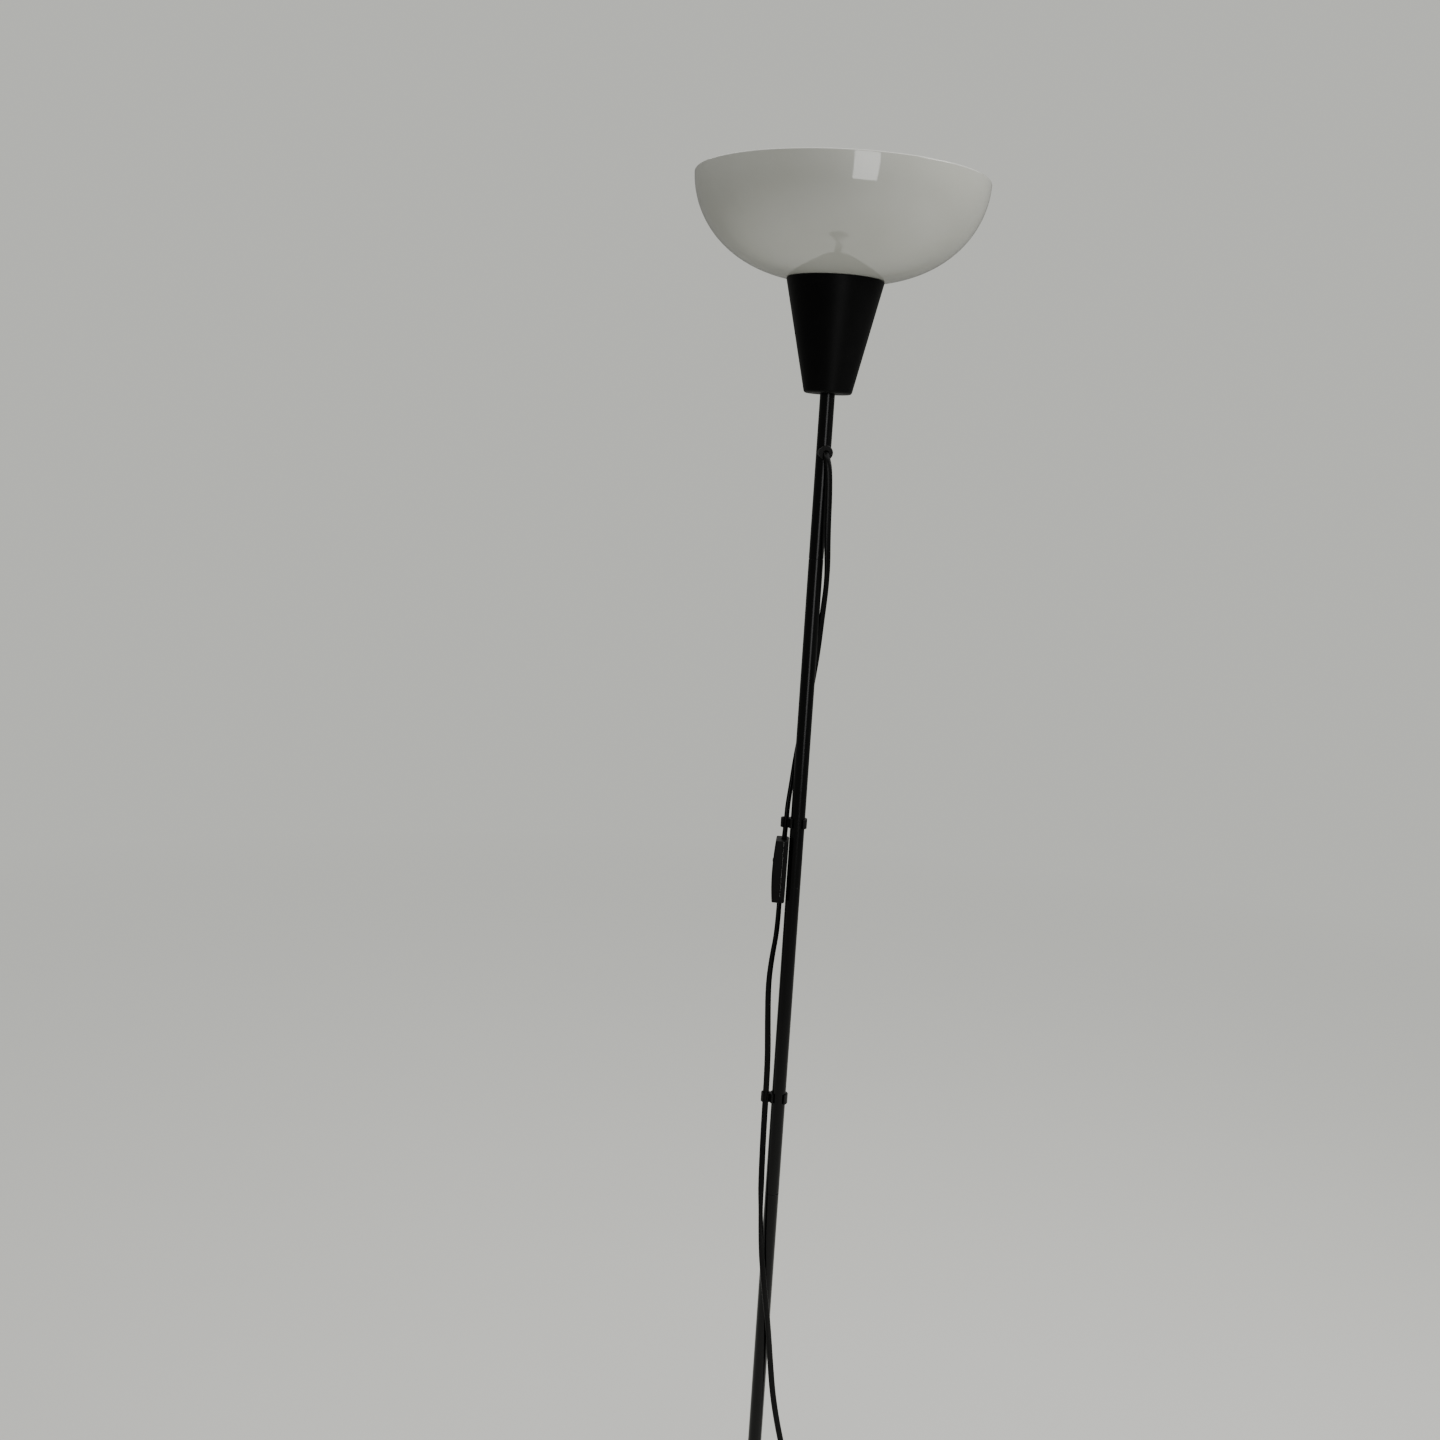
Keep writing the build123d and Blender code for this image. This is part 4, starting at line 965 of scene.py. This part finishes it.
house_low, house_high = heights("bulb_housing")
neck_radius, neck_wall, globe_radius = 13.7, 1.8, 30.0
neck_top, house_floor = house_low + 8.0, house_low + 1.6
house_corners = [
    (0, house_low), (neck_radius, house_low, 0.6), (neck_radius, neck_top, 6.0),
    (globe_radius - 1.0, house_high, 0.3), (globe_radius - 2.4, house_high, 0.3),
    (neck_radius - neck_wall, neck_top + 2), (neck_radius - neck_wall, house_floor),
    (0, house_floor),
]
stands_for(turned("bulb_neck", rounded(house_corners), 96), "bulb_housing")

globe_foot, globe_top = heights("bulb_globe")
globe_centre, globe_foot_radius = globe_top - globe_radius, globe_radius - 0.6
globe_wall, globe_steps = 1.2, 36


def dome_face(radius):
    """A quarter circle about the middle of the globe, from its widest place up to the axis."""
    face = []
    for step in range(globe_steps + 1):
        angle = math.pi / 2 * step / globe_steps
        across = 0.0 if step == globe_steps else radius * math.cos(angle)
        face.append((across, globe_centre + radius * math.sin(angle)))
    return face


globe_corners = [
    (globe_foot_radius - globe_wall, globe_foot),
    (globe_foot_radius, globe_foot, 0.3),
    *dome_face(globe_radius),
    *dome_face(globe_radius - globe_wall)[::-1],
]
stands_for(turned("bulb_dome", rounded(globe_corners), 96), "bulb_globe")
print("bulb from", round(tip_low, 1), "to", round(globe_top, 1))

# %% [markdown]
# The plug is flat, and the lead enters it through a soft tapered boot. The boot is cut into rings, each
# a little smaller than the last, so that it bends evenly and the lead is never pinched at the plug.

# %% Plug boot
boot_low, boot_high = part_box("plug_boot")
boot_root = Vector((boot_low.x, (boot_low.y + boot_high.y) / 2, (boot_low.z + boot_high.z) / 2))
boot_length, boot_bore, boot_rings = (boot_high.x - boot_low.x) / MM, 3.3, 6
boot_radius, boot_taper, ring_depth = 5.6, 1.6, 0.9
boot_corners = [(boot_bore, 0.0), (boot_radius, 0.0, 0.3)]
ring_step = boot_length / (boot_rings + 1)
for index in range(boot_rings):
    here = (index + 0.75) * ring_step
    full = boot_radius - boot_taper * here / boot_length
    boot_corners += [
        (full, here, 0.25), (full - ring_depth, here + 0.35, 0.1),
        (full - ring_depth, here + 1.0, 0.1), (full - 0.12, here + 1.35, 0.25),
    ]
boot_corners += [(boot_radius - boot_taper, boot_length, 0.4), (boot_bore, boot_length, 0.2)]
along_x = Matrix.Translation(boot_root) @ Matrix.Rotation(math.pi / 2, 4, "Y")
stands_for(turned("boot_rings", rounded(boot_corners), 48, None, along_x), "plug_boot")

# %% [markdown]
# Everything else was moulded, pressed or sawn to a shape that the CAD model already has, so each node is
# copied, joined up and given broken edges. The size of the break follows the size of the piece.

# %% Softened pieces from the CAD model
edge_of = {
    "cable_clip_upper": 0.45, "cable_clip_lower": 0.45, "exit_grommet": 0.25,
    "switch_front_shell": 0.3, "switch_back_shell": 0.3, "switch_rocker": 0.35, "switch_screws": 0.12,
    "plug_body": 0.0, "plug_pins": 0.0, "pin_sleeves": 0.12, "coil_tie": 0.2,
    "base_plate": 0.2, "base_weight": 0.0, "base_bolt": 0.25, "base_washer": 0.2,
    "tube_studs": 0.15, "tube_inserts": 0.2, "top_tube": 0.15, "top_insert": 0.2,
    "threaded_nipple": 0.25, "cone_washer": 0.2, "cone_nut": 0.25, "cap_nut": 0.25,
    "lampholder_cap": 0.4, "contact_block": 0.25, "terminal_screws": 0.15, "screw_sleeve": 0.1,
    "centre_contact": 0.1, "switch_contacts": 0.1, "led_plate": 0.15, "inner_lead": 0.0,
}
for node, edge in edge_of.items():
    stands_for(softened(node, edge), node)
left = sorted(set(frame["nodes"]) - dressed)
print("softened", len(edge_of), "nodes; left as they are:", left)

# %% [markdown]
# The floor is plain and pale, and so is the air round the lamp. Far from the lamp the floor fades into
# the air, so no edge of it is ever seen. The light is soft: a broad lamp high on the right makes the bowl
# brighter on that side, a wide ceiling fills the room, and a tall one behind the viewer stands where a
# window would, and shows as a patch near the bowl's rim.

# %% Floor
floor_radius, floor_level, fade_from, fade_to = 14.0, -0.0002, 1.0, 4.6
floor_work = bmesh.new()
bmesh.ops.create_circle(floor_work, cap_ends=True, radius=floor_radius, segments=96)
floor = finished_mesh("floor", floor_work)
for corner in floor.data.vertices:
    corner.co.z = floor_level
paint = bpy.data.materials.new("floor_paint")
paint.use_nodes = True
paint.node_tree.nodes.clear()
bare = Wire(paint.node_tree)
floor_place = bare.node("ShaderNodeTexCoord", {}, {}, "Object")
floor_tones = (0.585, 0.585, 0.555, 1.0), (0.61, 0.61, 0.58, 1.0)
floor_tone = bare.noise(floor_place, 0.6, 4.0).mix(*floor_tones)
floor_gloss = bare.noise(floor_place, 0.05, 4.0) * 0.1 + 0.6
floor_shader = bare.node("ShaderNodeBsdfPrincipled", {}, {
    "Base Color": floor_tone, "Roughness": floor_gloss, "Specular IOR Level": 0.2,
})
distance = bare.node("ShaderNodeVectorMath", {"operation": "LENGTH"}, {0: floor_place}, "Value")
clear = bare.node("ShaderNodeBsdfTransparent", {}, {})
gone = distance.above(fade_from, fade_to)
floor_mix = bare.node("ShaderNodeMixShader", {}, {0: gone, 1: floor_shader, 2: clear})
bare.node("ShaderNodeOutputMaterial", {}, {"Surface": floor_mix})
floor.data.materials.append(paint)

# %% Air
world = bpy.data.worlds.new("studio")
bpy.context.scene.world = world
world.use_nodes = True
world.node_tree.nodes.clear()
air = Wire(world.node_tree)
seen = air.node("ShaderNodeLightPath", {}, {}, "Is Camera Ray")
behind = air.node("ShaderNodeBackground", {}, {"Color": (0.60, 0.605, 0.565, 1.0), "Strength": 1.0})
around = air.node("ShaderNodeBackground", {}, {"Color": (0.2, 0.2, 0.19, 1.0), "Strength": 1.0})
both = air.node("ShaderNodeMixShader", {}, {0: seen, 1: around, 2: behind})
air.node("ShaderNodeOutputWorld", {}, {"Surface": both})


# %% Lamps of the studio
def soft_box(name, place, target, size, power, tint=0.0):
    """A rectangular lamp at a place, facing a target, in metres and watts."""
    data = bpy.data.lights.new(name, "AREA")
    data.shape = "RECTANGLE"
    data.size, data.size_y = size
    data.energy = power
    data.color = grey(1.0, tint)[:3]
    lamp = bpy.data.objects.new(name, data)
    bpy.context.collection.objects.link(lamp)
    lamp.location = place
    lamp.rotation_mode = "QUATERNION"
    lamp.rotation_quaternion = (Vector(target) - Vector(place)).to_track_quat("-Z", "Y")


bowl_middle = (0.0, 0.0, rim_z - 0.05)
soft_box("broad_right", (3.2, -0.8, 3.1), bowl_middle, (1.6, 1.6), 90.0, 0.01)
soft_box("window", (0.66, -2.2, 1.42), (0.0, 0.0, 1.5), (0.75, 1.25), 12.0)
soft_box("ceiling", (0.0, 0.6, 5.0), (0.0, 0.0, 0.0), (8.0, 8.0), 380.0)
